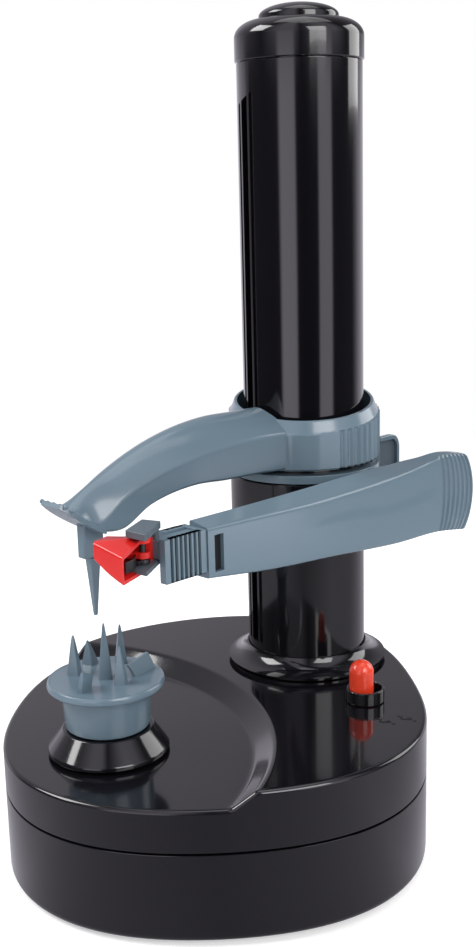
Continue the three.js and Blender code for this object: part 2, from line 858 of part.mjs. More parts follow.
// A spike: a slim cone from the dish, its tip pushed outwards where it leans.
function dishSpike({ degrees, reach_share, height_share, girth_share, lean_share }) {
  const angle = radians(degrees);
  const [radius, height] = [spike_radius * girth_share, spike_height * height_share];
  const foot_x = lip_radius * reach_share;
  const tip_x = foot_x - lip_radius * lean_share;
  const rings = [[foot_x, radius, -lip_round], [tip_x, spike_tip_radius, height]].map(([x, r, z]) => {
    const points = [];
    for (let i = 0; i < spike_sides; i++) {
      const turn = (i / spike_sides) * full_turn;
      points.push(new THREE.Vector3(x + r * Math.cos(turn), r * Math.sin(turn), z));
    }
    return points;
  });
  return loft(rings, shift(0, 0, lipTop()).multiply(turnZ(angle)));
}

// A fin: an upright blade along a radius, square at its outer end and sloped at its inner one.
function dishFin({ degrees, near_share, far_share, height_share }) {
  const [near, far] = [lip_radius * near_share, lip_radius * far_share];
  const height = fin_height * height_share;
  const outline = [[near, -lip_round], [far, -lip_round], [far, height * 0.8], [(near + far) / 2, height]];
  const turn = turnZ(radians(degrees) - full_turn / 4);
  return sidePrism(outline, -fin_thickness / 2, fin_thickness / 2, shift(0, 0, lipTop()).multiply(turn));
}

function foodHolder() {
  const low = hubTop() + clearance;
  const neck = low + holder_body_height;
  const dish = turned([[0, low], [holder_foot_radius - lip_round, low], [holder_foot_radius, low + lip_round],
    [holder_body_radius, neck], [lip_radius - lip_round, neck], [lip_radius, neck + lip_round],
    [lip_radius, lipTop() - lip_round], [lip_radius - lip_round, lipTop()], [0, lipTop()]]);
  const socket_top = hubTop() + hub_stub_height + clearance;
  const socket = rod(hub_stub_radius + clearance, low - overrun, socket_top, undefined, round_sides);
  return joined(dish.subtract(socket), ...spike_places.map(dishSpike), ...fin_places.map(dishFin));
}

function buildTurntable() {
  const table = groupAt(0, -turntable_distance);
  piece(table, "turntable_gear", gear(turntable_teeth, shaft_radius), "white_nylon");
  piece(table, "turntable_shaft", turntableShaft(), "steel");
  const bush_low = ceiling;
  piece(table, "turntable_bush", ring(shaft_radius + clearance, shaft_radius + clearance + bush_wall,
    bush_low, bush_low + bush_height, undefined, small_sides), "white_nylon");
  piece(table, "turntable_hub", turntableHub(), "gloss_black");
  piece(table, "food_holder", foodHolder(), "blue_grey");
  return table;
}

// Tower

// A groove or slot along the tower, its top cut on a slant.
function slotCutter(middle, width, depth) {
  const [left, right] = [middle - width / 2, middle + width / 2];
  const [low, high] = [deck_height + slot_low, tower_top - slot_top];
  const slope = slot_slant / (2 * groove_offset + groove_width);
  const outline = [[left, low], [right, low], [right, high + slope * right], [left, high + slope * left]];
  return sidePrism(outline, tower_radius - depth, tower_radius + overrun, turnZ(radians(slot_degrees)));
}

function towerTube() {
  const tube = ring(tower_radius - tower_wall, tower_radius, ceiling + clearance, tower_top, undefined,
    round_sides + small_sides);
  return cut(tube,
    slotCutter(0, slot_width, tower_wall + overrun),
    slotCutter(-groove_offset, groove_width, groove_depth),
    slotCutter(groove_offset, groove_width, groove_depth));
}

function towerFoot() {
  const inner = tower_radius + clearance;
  const low = deck_height + clearance;
  const outer = tower_radius + foot_flare;
  const waist = inner + foot_flare / 8;
  const mid = low + foot_rim;
  return turned([[inner, low], [outer, low], [outer, mid], [outer - foot_flare * 0.3, mid + foot_rise * 0.12],
    [outer - foot_flare * 0.65, mid + foot_rise * 0.38], [waist, low + foot_rise],
    [inner, low + foot_rise], [inner, low]]);
}

function shoulder(radius, opening, low, rise) {
  const points = [];
  for (let i = 0; i <= cap_steps; i++) {
    const angle = (i / cap_steps) * (full_turn / 4);
    points.push([opening + (radius - opening) * Math.cos(angle), low + rise * Math.sin(angle)]);
  }
  return points;
}

function towerCap() {
  const low = tower_top + clearance;
  const turn = low + cap_wall_height;
  const opening = button_radius + clearance;
  const spigot = tower_radius - tower_wall - clearance;
  const outside = shoulder(cap_radius, opening, turn, cap_shoulder_rise);
  const inside = shoulder(cap_radius - cap_wall, opening, turn, cap_shoulder_rise - cap_wall).reverse();
  const [bore, foot_z] = [spigot - spigot_wall, tower_top - spigot_depth];
  return turned([[bore, foot_z], [spigot, foot_z], [spigot, low], [cap_radius, low], ...outside,
    ...inside, [cap_radius - cap_wall, low + cap_wall], [bore, low + cap_wall], [bore, foot_z]]);
}

function topBush() {
  const outer = tower_radius - tower_wall - spigot_wall - 2 * clearance;
  const low = topBushLow();
  return ring(shaft_radius + clearance, outer, low, low + top_bush_height, undefined, 2 * small_sides);
}

function topBushLow() {
  return tower_top - spigot_depth;
}

function buttonLow() {
  return tower_top + clearance + cap_wall_height + cap_shoulder_rise - cap_wall - clearance - button_flange_height;
}

function topButton() {
  const low = buttonLow();
  const flange = button_radius + button_flange;
  const neck = low + button_flange_height;
  const rim = tower_top + clearance + cap_wall_height + cap_shoulder_rise + button_rim;
  const profile = [[0, low - button_stem_length], [button_stem_radius, low - button_stem_length],
    [button_stem_radius, low], [flange, low], [flange, neck], [button_radius, neck]];
  for (let i = 0; i <= button_steps; i++) {
    const angle = (i / button_steps) * (full_turn / 4);
    profile.push([button_radius * Math.cos(angle), rim + button_dome * Math.sin(angle)]);
  }
  return turned(profile);
}

function buttonSpring() {
  const low = topBushLow() + top_bush_height + clearance;
  return coil(button_coil_radius, button_wire, button_coil_turns, low, buttonLow() - clearance);
}

function microSwitch() {
  const low = topBushLow() + top_bush_height + clearance;
  return block([-micro_length / 2, micro_length / 2], [-micro_width / 2, micro_width / 2],
    [low, low + micro_height]);
}

// The lead screw: its radius swells and shrinks once a turn along a helix, and both ends are journals.
function leadScrew() {
  const [low, high] = [ceiling + screw_journal_gap, topBushLow() - screw_journal_gap];
  const count = Math.round(((high - low) / screw_pitch) * screw_rings_per_turn);
  const rings = [];
  for (let i = 0; i <= count; i++) {
    const z = low + ((high - low) * i) / count;
    const points = [];
    for (let j = 0; j < screw_sides; j++) {
      const angle = (j / screw_sides) * full_turn;
      const wave = Math.cos(((z - low) / screw_pitch) * full_turn - angle);
      const radius = screw_mean_radius + screw_thread_depth * wave;
      points.push(new THREE.Vector3(radius * Math.cos(angle), radius * Math.sin(angle), z));
    }
    rings.push(points);
  }
  return loft(rings).add(rod(shaft_radius, plate_low, topBushLow() + top_bush_height - clearance));
}

function buildTower() {
  const tower = new THREE.Group();
  piece(tower, "tower_tube", towerTube(), "gloss_black");
  piece(tower, "tower_foot", towerFoot(), "gloss_black");
  piece(tower, "tower_cap", towerCap(), "gloss_black");
  piece(tower, "top_button", topButton(), "gloss_black");
  piece(tower, "button_spring", buttonSpring(), "steel");
  piece(tower, "start_switch", microSwitch(), "inner_black");
  piece(tower, "screw_top_bush", topBush(), "white_nylon");
  piece(tower, "lead_screw", leadScrew(), "steel");
  return tower;
}

// Upper arm, drawn from the bottom of its collar

function collarOutline() {
  const points = [];
  const sweep = full_turn / 2 - 2 * radians(flute_start_degrees);
  for (let i = 0; i <= flute_count * 2; i++) {
    const angle = radians(flute_start_degrees) + (sweep * i) / (flute_count * 2);
    const radius = collar_radius - (i % 2 ? flute_depth : 0);
    points.push([radius * Math.cos(angle), radius * Math.sin(angle)]);
  }
  const facets = [...facet_degrees].reverse().map((degrees) => -180 - degrees);
  for (const degrees of [...facets, -105, -90, -75, ...facet_degrees]) {
    const angle = radians(degrees);
    points.push([collar_radius * Math.cos(angle), collar_radius * Math.sin(angle)]);
  }
  return points;
}

function collar() {
  const drop = collar_slope_drop / 2;
  const [near, far] = [-collar_radius - overrun, collar_radius + overrun];
  const over = collar_height + overrun;
  const above = [[near, over], [near, collar_height], [far, collar_height - 2 * drop], [far, over]];
  const body = prism(collarOutline(), 0, collar_height);
  return body.subtract(sidePrism(above, near, far));
}

// The beam's section: a flat foot, upright sides up to a ridge, and an arched back between the ridges.
function beamSection(y, half_width, low, ridge, crown) {
  const points = [new THREE.Vector3(-half_width, y, low), new THREE.Vector3(half_width, y, low)];
  for (let i = 0; i <= arch_steps; i++) {
    const across = 1 - (2 * i) / arch_steps;
    const height = ridge + (crown - ridge) * (1 - Math.abs(across) ** arch_power);
    points.push(new THREE.Vector3(half_width * across, y, height));
  }
  return points;
}

function shareCurve(shares, size) {
  const points = arm_station_shares.map((station, i) => new THREE.Vector2(station * arm_reach, shares[i] * size));
  return new THREE.SplineCurve(points);
}

function beam() {
  const [crown, ridge, low] = [arm_crown_shares, arm_ridge_shares, arm_low_shares]
    .map((shares) => shareCurve(shares, arm_rise));
  const width = shareCurve(arm_width_shares, arm_half_width);
  const sections = [];
  for (let i = 0; i <= arm_steps; i++) {
    const t = i / arm_steps;
    const y = -crown.getPoint(t).x;
    const heights = [low, ridge, crown].map((curve) => curve.getPoint(t).y);
    sections.push(beamSection(y, width.getPoint(t).y, ...heights));
  }
  return loft(sections);
}

// The thumb rest: a thin leaf that curls up past the end of the beam.
function thumbRest() {
  const start_z = arm_rise * arm_low_shares.at(-1) + thumb_thickness / 2;
  const start = new THREE.Vector3(0, -arm_reach + thumb_length / 4, start_z);
  const bend = new THREE.Vector3(0, start.y - thumb_length / 2, start_z);
  const tip = new THREE.Vector3(0, start.y - thumb_length, start_z + thumb_rise);
  const path = new THREE.QuadraticBezierCurve3(start, bend, tip);
  const rings = [];
  for (let i = 0; i <= thumb_steps; i++) {
    const t = i / thumb_steps;
    const point = path.getPoint(t);
    const along = path.getTangent(t);
    const normal = new THREE.Vector3(0, -along.z, along.y).multiplyScalar(thumb_thickness / 2);
    const half_width = thumb_half_width * Math.sqrt(1 - 0.8 * t ** 3);
    rings.push([[-1, -1], [1, -1], [1, 1], [-1, 1]].map(([side, face]) => {
      const corner = point.clone().addScaledVector(normal, face);
      corner.x += side * half_width;
      return corner;
    }));
  }
  return loft(rings);
}

function upperArm() {
  const y = -pin_reach;
  const half = block_width / 2;
  const grip = block([-half, half], [y - half, y + half], [-block_drop, block_height - block_drop]);
  const bore = rod(collar_bore_radius, -overrun, collar_height + overrun, undefined, round_sides);
  const socket = rod(top_spike_radius / 2 + clearance, -block_drop - overrun, -block_drop + overrun,
    shift(0, y, 0), spike_sides);
  return cut(joined(collar(), beam(), thumbRest(), grip), bore, socket);
}

function topSpike() {
  const low = lipTop() + spike_height + pin_gap - collar_low;
  const high = -block_drop - clearance;
  return turned([[0, low], [top_spike_tip_radius, low], [top_spike_radius, high], [top_spike_radius / 2, high],
    [top_spike_radius / 2, high + overrun], [0, high + overrun]], shift(0, -pin_reach, 0), spike_sides);
}

function buildUpperArm() {
  const arm = groupAt(0, 0, collar_low);
  piece(arm, "upper_arm", upperArm(), "blue_grey");
  piece(arm, "upper_spike", topSpike(), "blue_grey");
  piece(arm, "collar_bush", ring(tower_radius + sleeve_bore_gap, collar_bore_radius - clearance,
    clearance, collar_bush_height), "inner_black");
  return arm;
}

// Peeling carriage, drawn round the tower

function carriageSleeve() {
  const bore = tower_radius + sleeve_bore_gap;
  const low = sleeve_top - sleeve_height;
  const lug_low = pivot_height - lug_height + lug_drop;
  const lug_high = pivot_height + lug_drop;
  const neck = block([bore, pivot_side], [pivot_back - lug_radius, pivot_back + lug_radius],
    [lug_low, lug_high]);
  const body = joined(rod(sleeve_radius, low, sleeve_top, undefined, round_sides),
    neck, rod(lug_radius, lug_low, lug_high, shift(pivot_side, pivot_back, 0)));
  const half = nut_thickness / 2 + clearance;
  const nut_room = block([0, tower_radius + sleeve_bore_gap + nut_travel + 2 * clearance], [-half, half],
    [nutLow() - clearance, nutLow() + nut_height + clearance], turnZ(radians(slot_degrees)));
  return cut(body, rod(bore, low - overrun, sleeve_top + overrun, undefined, round_sides),
    rod(pivot_pin_radius + clearance, 0, tower_top, shift(pivot_side, pivot_back, 0)), nut_room);
}

// The ring plate with the upright finger tab behind the tower.
function peelCarriage() {
  const low = carriage_top - ring_height;
  const plate = ring(tower_radius + sleeve_bore_gap, sleeve_radius + clearance, low, carriage_top);
  const [bottom, top] = [carriage_top - tab_drop, carriage_top + tab_rise];
  const outline = [[tab_near, bottom], [tab_far - tab_corner, bottom], [tab_far, bottom + tab_corner],
    [tab_far, top - tab_corner], [tab_far - tab_corner, top], [sleeve_radius + tab_border, top],
    [sleeve_radius + tab_border, carriage_top], [tab_near, carriage_top]];
  const panel_side = tab_side + tab_thickness - tab_panel_depth;
  const tab = sidePrism(outline, tab_side, tab_side + tab_thickness);
  const panel = block([panel_side, panel_side + overrun],
    [sleeve_radius + 2 * tab_border, tab_far - tab_border], [bottom + tab_border, top - tab_border]);
  const sleeve_room = rod(sleeve_radius + clearance, 0, low - clearance, undefined, round_sides);
  const tower_room = rod(tower_radius + sleeve_bore_gap, 0, tower_top, undefined, round_sides);
  return cut(joined(plate, tab), panel, sleeve_room, tower_room);
}

function nutLow() {
  return sleeve_top - nut_drop - nut_height;
}

// The half nut reaches through the slot; its hollow end lies just outside the screw's crests.
function halfNut() {
  const crest = screw_mean_radius + screw_thread_depth + clearance;
  const half = nut_thickness / 2;
  const bar = block([crest, tower_radius + sleeve_bore_gap + clearance], [-half, half],
    [nutLow(), nutLow() + nut_height], turnZ(radians(slot_degrees)));
  return bar.subtract(rod(crest + clearance, 0, tower_top));
}

function pivotPin() {
  const top = armEdge(arm_top_shares, 0) + pivot_height + clearance;
  const low = armEdge(arm_foot_shares, 0) + pivot_height + clearance;
  const place = shift(pivot_side, pivot_back, 0);
  return rod(pivot_pin_radius, low, top, place, small_sides);
}

function pivotSpring() {
  const high = pivot_height - lug_height + lug_drop - clearance;
  return coil(spring_coil_radius - spring_wire, spring_wire, spring_turns, high - spring_pocket_height + 2 * clearance,
    high, shift(pivot_side, pivot_back, 0));
}

function buildCarriage() {
  const carriage = new THREE.Group();
  piece(carriage, "carriage_sleeve", carriageSleeve(), "gloss_black");
  piece(carriage, "peel_carriage", peelCarriage(), "blue_grey");
  piece(carriage, "half_nut", halfNut(), "white_nylon");
  piece(carriage, "arm_pivot_pin", pivotPin(), "steel");
  piece(carriage, "arm_spring", pivotSpring(), "steel");
  return carriage;
}

// Peeling arm, drawn from its pivot: Y runs along it, Z up, and X away from the tower

function armPoint([along, up]) {
  return new THREE.Vector2(along * peel_arm_length, up * peel_arm_height);
}

// Height of the arm's upper or lower edge at a place along it, between the two nearest points.
function armEdge(shares, along) {
  const points = shares.map(armPoint).sort((a, b) => a.x - b.x);
  const next = Math.max(1, points.findIndex((point) => point.x >= along));
  const [a, b] = [points[next - 1], points[next]];
  return a.y + ((b.y - a.y) * (along - a.x)) / (b.x - a.x);
}

function armSpline(shares) {
  return new THREE.SplineCurve(shares.map(armPoint)).getPoints(arm_curve_steps * (shares.length - 1));
}

function armOutline() {
  const points = [arm_top_shares, arm_end_shares, arm_foot_shares].flatMap(armSpline);
  return points.map((point) => [point.x, point.y]);
}

function gripGrooves() {
  const first = armPoint(arm_end_shares[0]).x - rib_count * rib_pitch;
  const cutters = [];
  for (let i = 0; i < rib_count; i++) {
    const y = first + i * rib_pitch;
    cutters.push(block([outer_face - rib_depth, outer_face + overrun], [y, y + rib_width],
      [-2 * peel_arm_height, 2 * peel_arm_height]));
  }
  return cutters;
}

function socketMiddle() {
  return (armEdge(arm_top_shares, -arm_front) + armEdge(arm_foot_shares, -arm_front)) / 2;
}

function armCutters() {
  const wall_face = outer_face - peel_arm_wall;
  const mouth = socketMiddle();
  const socket_x = [wall_face - socket_width, wall_face];
  const socket = block(socket_x, [-arm_front - overrun, -arm_front + socket_depth],
    [mouth - socket_height / 2, mouth + socket_height / 2]);
  const window_y = -arm_front + window_inset;
  const window_cut = block([wall_face - overrun / 4, outer_face + overrun], [window_y, window_y + window_length],
    [mouth - window_height / 2, mouth + window_height / 2]);
  const lug_low = -lug_height + lug_drop - clearance - spring_pocket_height;
  const lug_room = block([-peel_arm_inside - overrun, wall_face],
    [-lug_pocket_length / 2, lug_pocket_length / 2], [lug_low, lug_drop + clearance]);
  const light_start = -arm_front + socket_depth + 2 * peel_arm_wall;
  const light_mouth = (armEdge(arm_top_shares, light_start) + armEdge(arm_foot_shares, light_start)) / 2;
  const lightening = block([-peel_arm_inside - overrun, wall_face],
    [light_start, light_start + light_pocket_length],
    [light_mouth - light_pocket_height / 2, light_mouth + light_pocket_height / 2]);
  const thin = block([-peel_arm_inside - overrun, outer_face - grip_thickness],
    [grip_start, peel_arm_length], [-2 * peel_arm_height, 2 * peel_arm_height]);
  const pin = rod(pivot_pin_radius + clearance, -2 * peel_arm_height, 2 * peel_arm_height);
  return [socket, window_cut, lug_room, lightening, thin, pin];
}

function peelArm() {
  const bar = sidePrism(armOutline(), -peel_arm_inside, outer_face);
  return cut(bar, ...armCutters(), ...gripGrooves());
}

// Blade cartridge, in the arm's own axes

function cartridgeMiddle() {
  return outer_face - peel_arm_wall - socket_width / 2;
}

function neckMiddle() {
  return cartridgeMiddle() - neck_inset;
}

function yokePost() {
  return new THREE.Vector2(neckMiddle(), -arm_front - clearance - squeeze_length + yoke_post / 2);
}

function bladePinPlace() {
  const post = yokePost();
  return new THREE.Vector2(post.x, post.y - blade_pin_reach);
}

function yokeLow() {
  return socketMiddle() + cartridge_rise - yoke_low;
}

// A yoke plate reaches forwards and inwards from its post to hold one end of the blade pin.
function yokePlate(low) {
  const post = yokePost();
  const outline = yoke_corner_shares.map(([x, y]) => [post.x + x * yoke_length, post.y + y * yoke_length]);
  return prism(outline, low, low + yoke_thickness);
}

function squeezeTab(side) {
  const middle = neckMiddle();
  const outer = middle + side * (squeeze_spread / 2);
  const inner = outer - side * squeeze_thickness;
  const height = socketMiddle() + cartridge_rise;
  const [near, far] = [-arm_front - clearance - squeeze_length, -arm_front - clearance];
  let tab = block([Math.min(outer, inner), Math.max(outer, inner)], [near, far],
    [height - squeeze_height / 2, height + squeeze_height / 2]);
  const pitch = squeeze_length / (squeeze_grooves + 0.5);
  for (let i = 0; i < squeeze_grooves; i++) {
    const y = near + (i + 0.75) * pitch;
    const face = [outer - side * squeeze_groove_depth, outer + side * overrun].sort((a, b) => a - b);
    tab = tab.subtract(block(face, [y, y + squeeze_groove_width], [height - squeeze_height, height + squeeze_height]));
  }
  return tab;
}

function cartridge() {
  const middle = cartridgeMiddle();
  const height = socketMiddle() + cartridge_rise;
  const reach = [-arm_front - clearance, -arm_front + socket_depth - clearance];
  const body_half = socket_width / 2 - clearance;
  const body_height = socket_height / 2 - clearance - cartridge_rise;
  const body = block([middle - body_half, middle + body_half], [reach[0] - squeeze_bridge, reach[1]],
    [height - body_height, height + body_height]);
  const [half_spread, neck] = [squeeze_spread / 2, neckMiddle()];
  const bridge = block([neck - half_spread, neck + half_spread], [reach[0] - squeeze_bridge, reach[0]],
    [height - squeeze_height / 2, height + squeeze_height / 2]);
  const post = yokePost();
  const half_post = yoke_post / 2;
  const stem = block([neck - stem_width / 2, neck + stem_width / 2], [post.y, reach[0]],
    [height + stem_rise - stem_height / 2, height + stem_rise + stem_height / 2]);
  const low = yokeLow();
  const mast = block([post.x - half_post, post.x + half_post], [post.y - half_post, post.y + half_post],
    [low, low + yoke_spread]);
  const pin = bladePinPlace();
  const hole = rod(blade_pin_radius + clearance, low - overrun, low + yoke_spread + overrun, shift(pin.x, pin.y, 0));
  return joined(body, bridge, squeezeTab(1), squeezeTab(-1), stem, mast,
    yokePlate(low), yokePlate(low + yoke_spread - yoke_thickness)).subtract(hole);
}

function bladePin() {
  const place = bladePinPlace();
  return rod(blade_pin_radius, yokeLow() - clearance, yokeLow() + yoke_spread + clearance, shift(place.x, place.y, 0));
}

// Guard and blade, drawn round the blade pin; X points out of the guard's mouth

// A section of the hood: it runs straight from the nose, at a share of 0, to the mouth, at 1.
function guardRing(x, inset) {
  const share = (x + guard_set_back + guard_depth) / guard_depth;
  const between = (nose, mouth) => nose + (mouth - nose) * share;
  const lead = between(guard_nose_lead, guard_mouth_lead);
  const tail = lead - between(guard_nose_length, guard_mouth_length);
  const low = between(guard_nose_rise, 0);
  const high = low + between(guard_nose_height, guard_mouth_height);
  return [[tail + inset, low + inset], [lead - inset, low + inset], [lead - inset, high - inset],
    [tail + inset, high - inset]].map(([y, z]) => new THREE.Vector3(x, y, z));
}

function guardSkin(low, high, inset) {
  return loft([guardRing(low, inset), guardRing(high, inset)]);
}

function guardPlace() {
  return turnZ(radians(guard_degrees)).multiply(shift(0, 0, yokeLow() + guard_low));
}

function bladeGuard() {
  const nose = -guard_set_back - guard_depth;
  const hollow = guardSkin(nose + guard_wall, overrun, guard_wall);
  const shell = guardSkin(nose, -guard_set_back, 0).subtract(hollow);
  const ears = [0, guard_mouth_height - guard_ear_height]
    .map((low) => rod(guard_ear_radius, low, low + guard_ear_height));
  const bore = rod(blade_pin_radius + clearance, -overrun, guard_mouth_height + overrun);
  return joined(shell, ...ears).subtract(bore);
}

// The blade: a bowed strip from a small sleeve on the pin along the guard, just inside its mouth.
function peelingBlade() {
  const inner = blade_pin_radius + clearance;
  const outer = inner + blade_sleeve_wall;
  const low = (guard_mouth_height - blade_height) / 2;
  const high = low + blade_height;
  const front = [];
  const back = [];
  for (let i = 0; i <= blade_steps; i++) {
    const t = i / blade_steps;
    const y = -outer * blade_root_share - blade_length * t;
    const x = blade_bow * Math.sin((t * full_turn) / 2) - blade_set_back;
    front.push([x + blade_thickness / 2, y]);
    back.unshift([x - blade_thickness / 2, y]);
  }
  const strip = prism([...front, ...back], low, high);
  return strip.add(ring(inner, outer, low, high, undefined, small_sides));
}

function moved(shape, place) {
  const { vertProperties, triVerts } = shape.getMesh();
  const geometry = new THREE.BufferGeometry();
  geometry.setAttribute("position", new THREE.Float32BufferAttribute(vertProperties, 3));
  geometry.setIndex(Array.from(triVerts));
  return solid(geometry, place);
}

function buildPeelArm() {
  const arm = groupAt(pivot_side, pivot_back, pivot_height);
  piece(arm, "peel_arm", peelArm(), "blue_grey");
  piece(arm, "blade_cartridge", cartridge(), "dark_grey");
  piece(arm, "blade_pin", bladePin(), "steel");
  const pin = bladePinPlace();
  const head = groupAt(pin.x, pin.y);
  piece(head, "blade_guard", moved(bladeGuard(), guardPlace()), "guard_red");
  piece(head, "peeling_blade", moved(peelingBlade(), guardPlace()), "steel");
  arm.add(head);
  return arm;
}

// Switch, drawn round the middle of its collar with X along its travel

function switchLever() {
  const foot_z = deck_height + clearance;
  const top = deck_height + lever_height - lever_radius;
  const profile = [[0, ceiling + clearance], [lever_stem_radius, ceiling + clearance],
    [lever_stem_radius, foot_z], [lever_radius, foot_z]];
  for (let i = 0; i <= lever_steps; i++) {
    const angle = (i / lever_steps) * (full_turn / 4);
    profile.push([lever_radius * Math.cos(angle), top + lever_radius * Math.sin(angle)]);
  }
  return turned(profile, shift(-switch_travel / 2, 0, 0), 2 * small_sides);
}

function slideSwitch() {
  const [length, width] = [slide_switch_length / 2, slide_switch_width / 2];
  return block([-length, length], [-width, width], [ceiling - clearance - slide_switch_height, ceiling - clearance]);
}

function buildSwitch() {
  const group = groupAt(switch_side, -switch_front, 0, radians(switch_degrees));
  piece(group, "switch_lever", switchLever(), "lever_red");
  const low = deck_height + clearance;
  piece(group, "switch_collar", ring(switch_hole_radius, switch_hole_radius + switch_collar_wall,
    low, low + switch_collar_height), "gloss_black");
  piece(group, "slide_switch", slideSwitch(), "inner_black");
  return group;
}

// The whole part, moved so that the middle of its footprint box is the origin

const model = new THREE.Group();
model.add(buildBase(), buildBatteries(), buildDrive(), buildTurntable(), buildTower(),
  buildUpperArm(), buildCarriage(), buildPeelArm(), buildSwitch());
model.updateMatrixWorld(true);
const middle = new THREE.Box3().setFromObject(model, true).getCenter(new THREE.Vector3());
model.position.set(-middle.x, -middle.y, 0);

export default model;
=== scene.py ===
"""Studio scene of an electric potato peeler, dressed round its CAD frame.

Lengths in the classes are millimetres, measured from the tower's axis at table height, with the
turntable in front of the tower along -Y. A piece's points are moved to the row frame and turned
into metres when its mesh is made.
"""

import json
import logging
import math
from dataclasses import dataclass
from enum import Enum
from typing import Sequence

import bmesh
import bpy
import numpy as np
from mathutils import Matrix, Vector

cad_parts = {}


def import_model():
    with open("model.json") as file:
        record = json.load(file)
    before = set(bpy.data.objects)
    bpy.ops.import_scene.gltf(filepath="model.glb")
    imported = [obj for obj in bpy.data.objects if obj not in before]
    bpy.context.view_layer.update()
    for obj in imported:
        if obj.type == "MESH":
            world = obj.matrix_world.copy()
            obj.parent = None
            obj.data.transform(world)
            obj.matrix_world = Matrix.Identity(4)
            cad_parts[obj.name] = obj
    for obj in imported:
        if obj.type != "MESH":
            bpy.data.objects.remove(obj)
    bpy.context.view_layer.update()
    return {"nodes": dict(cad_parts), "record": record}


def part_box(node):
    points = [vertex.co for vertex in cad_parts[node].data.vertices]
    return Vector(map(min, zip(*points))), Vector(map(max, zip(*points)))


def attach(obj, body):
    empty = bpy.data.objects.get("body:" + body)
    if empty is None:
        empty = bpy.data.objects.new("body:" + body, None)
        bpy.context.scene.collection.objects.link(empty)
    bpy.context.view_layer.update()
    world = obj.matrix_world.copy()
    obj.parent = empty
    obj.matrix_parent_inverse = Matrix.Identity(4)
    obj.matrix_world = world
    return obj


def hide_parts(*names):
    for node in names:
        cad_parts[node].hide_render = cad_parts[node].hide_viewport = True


log = logging.getLogger("peeler")

Array = np.ndarray
Pair = tuple[float, float]
Triple = tuple[float, float, float]

MILLIMETRE = 0.001
TURN = 2.0 * math.pi
TINY = 1e-9

# Sizes that several classes share, in millimetres and degrees
DECK = 51.2
SEAT = 51.5
TABLE_AXIS = -98.2
TOWER_RADIUS = 22.1
SLIDE_BORE = 22.5
SLOT_DEGREES = -108.0
HINGE = (31.8, 8.0)
SWITCH = (45.4, -19.4)


class Body(Enum):
    """The bodies of the frame that pieces ride on."""

    HOUSING = "housing"
    TURNTABLE = "turntable"
    BUTTON = "button"
    POTATO_ARM = "potato_arm"
    CARRIAGE = "carriage"
    SWING_ARM = "swing_arm"
    CARTRIDGE = "cartridge"
    BLADE_HEAD = "blade_head"
    LEVER = "lever"
    DOOR = "door"


class Solver(Enum):
    """What a boolean does with its tools."""

    CUT = "DIFFERENCE"
    ADD = "UNION"


# Surfaces as arrays


@dataclass
class Skin:
    """Points with the faces between them, in millimetres in the tower's frame."""

    points: Array
    faces: list[Array]

    def __add__(self, other: "Skin") -> "Skin":
        """Both skins as one."""
        start = len(self.points)
        faces = self.faces + [block + start for block in other.faces]
        return Skin(np.concatenate([self.points, other.points]), faces)

    def moved(self, x: float = 0.0, y: float = 0.0, z: float = 0.0, degrees: float = 0.0) -> "Skin":
        """Turned about Z, then shifted.

        Args:
            x: shift along X.
            y: shift along Y.
            z: shift along Z.
            degrees: turn about Z, before the shift.

        Returns:
            The moved skin.
        """
        angle = math.radians(degrees)
        turn = np.array([[math.cos(angle), math.sin(angle), 0.0],
                         [-math.sin(angle), math.cos(angle), 0.0],
                         [0.0, 0.0, 1.0]])
        return Skin(self.points @ turn + np.array([x, y, z]), self.faces)

    def upright(self) -> "Skin":
        """A skin drawn in (Y, Z) and raised along X: its x, y, z become y, z, x."""
        return Skin(self.points[:, [2, 0, 1]], self.faces)


# What a boolean does and the closed skins that it does it with
Step = tuple[Solver, Sequence[Skin]]


def grid(points: Array) -> Skin:
    """Quads over points[u, v]: each joins a point to the next in u and in v, and v runs round.

    Args:
        points: array of shape (u, v, 3).

    Returns:
        The skin over the grid, open at the first and the last row.
    """
    rows, columns = points.shape[:2]
    u, v = np.meshgrid(np.arange(rows - 1), np.arange(columns), indexing="ij")
    next_v = (v + 1) % columns
    quads = np.stack([u * columns + v, (u + 1) * columns + v,
                      (u + 1) * columns + next_v, u * columns + next_v], axis=-1)
    return Skin(points.reshape(-1, 3), [quads.reshape(-1, 4)])


def loft(rings: Array) -> Skin:
    """A closed skin over rings[u, v]: quads between them and one flat face over each end.

    Args:
        rings: array (u, v, 3), each row a closed ring.

    Returns:
        The closed skin.
    """
    skin = grid(rings)
    rows, columns = rings.shape[:2]
    first = np.arange(columns)[::-1]
    last = np.arange(columns) + (rows - 1) * columns
    return Skin(skin.points, skin.faces + [first[None, :], last[None, :]])


def revolve(profile: Array, sides: int = 96) -> Skin:
    """A profile of (radius, height) turned about Z: x = r cos a, y = r sin a, z = height.

    Args:
        profile: array (n, 2) of radii and heights.
        sides: points round the axis.

    Returns:
        The turned skin, without end faces.
    """
    angle = np.arange(sides) / sides * TURN
    radius, height = profile[:, 0, None], profile[:, 1, None]
    points = np.stack([radius * np.cos(angle), radius * np.sin(angle),
                       height + 0.0 * angle], axis=-1)
    return grid(points)


def mixed(first: Array | float, second: Array | float, share: Array | float) -> Array:
    """A value between two: first + (second - first) share."""
    return first + (second - first) * share


def bent(first: Array, corner: Array, second: Array, share: Array) -> Array:
    """A quadratic curve from A to B, drawn towards P: (1-s)^2 A + 2s(1-s) P + s^2 B."""
    return (1 - share) ** 2 * first + 2 * share * (1 - share) * corner + share ** 2 * second


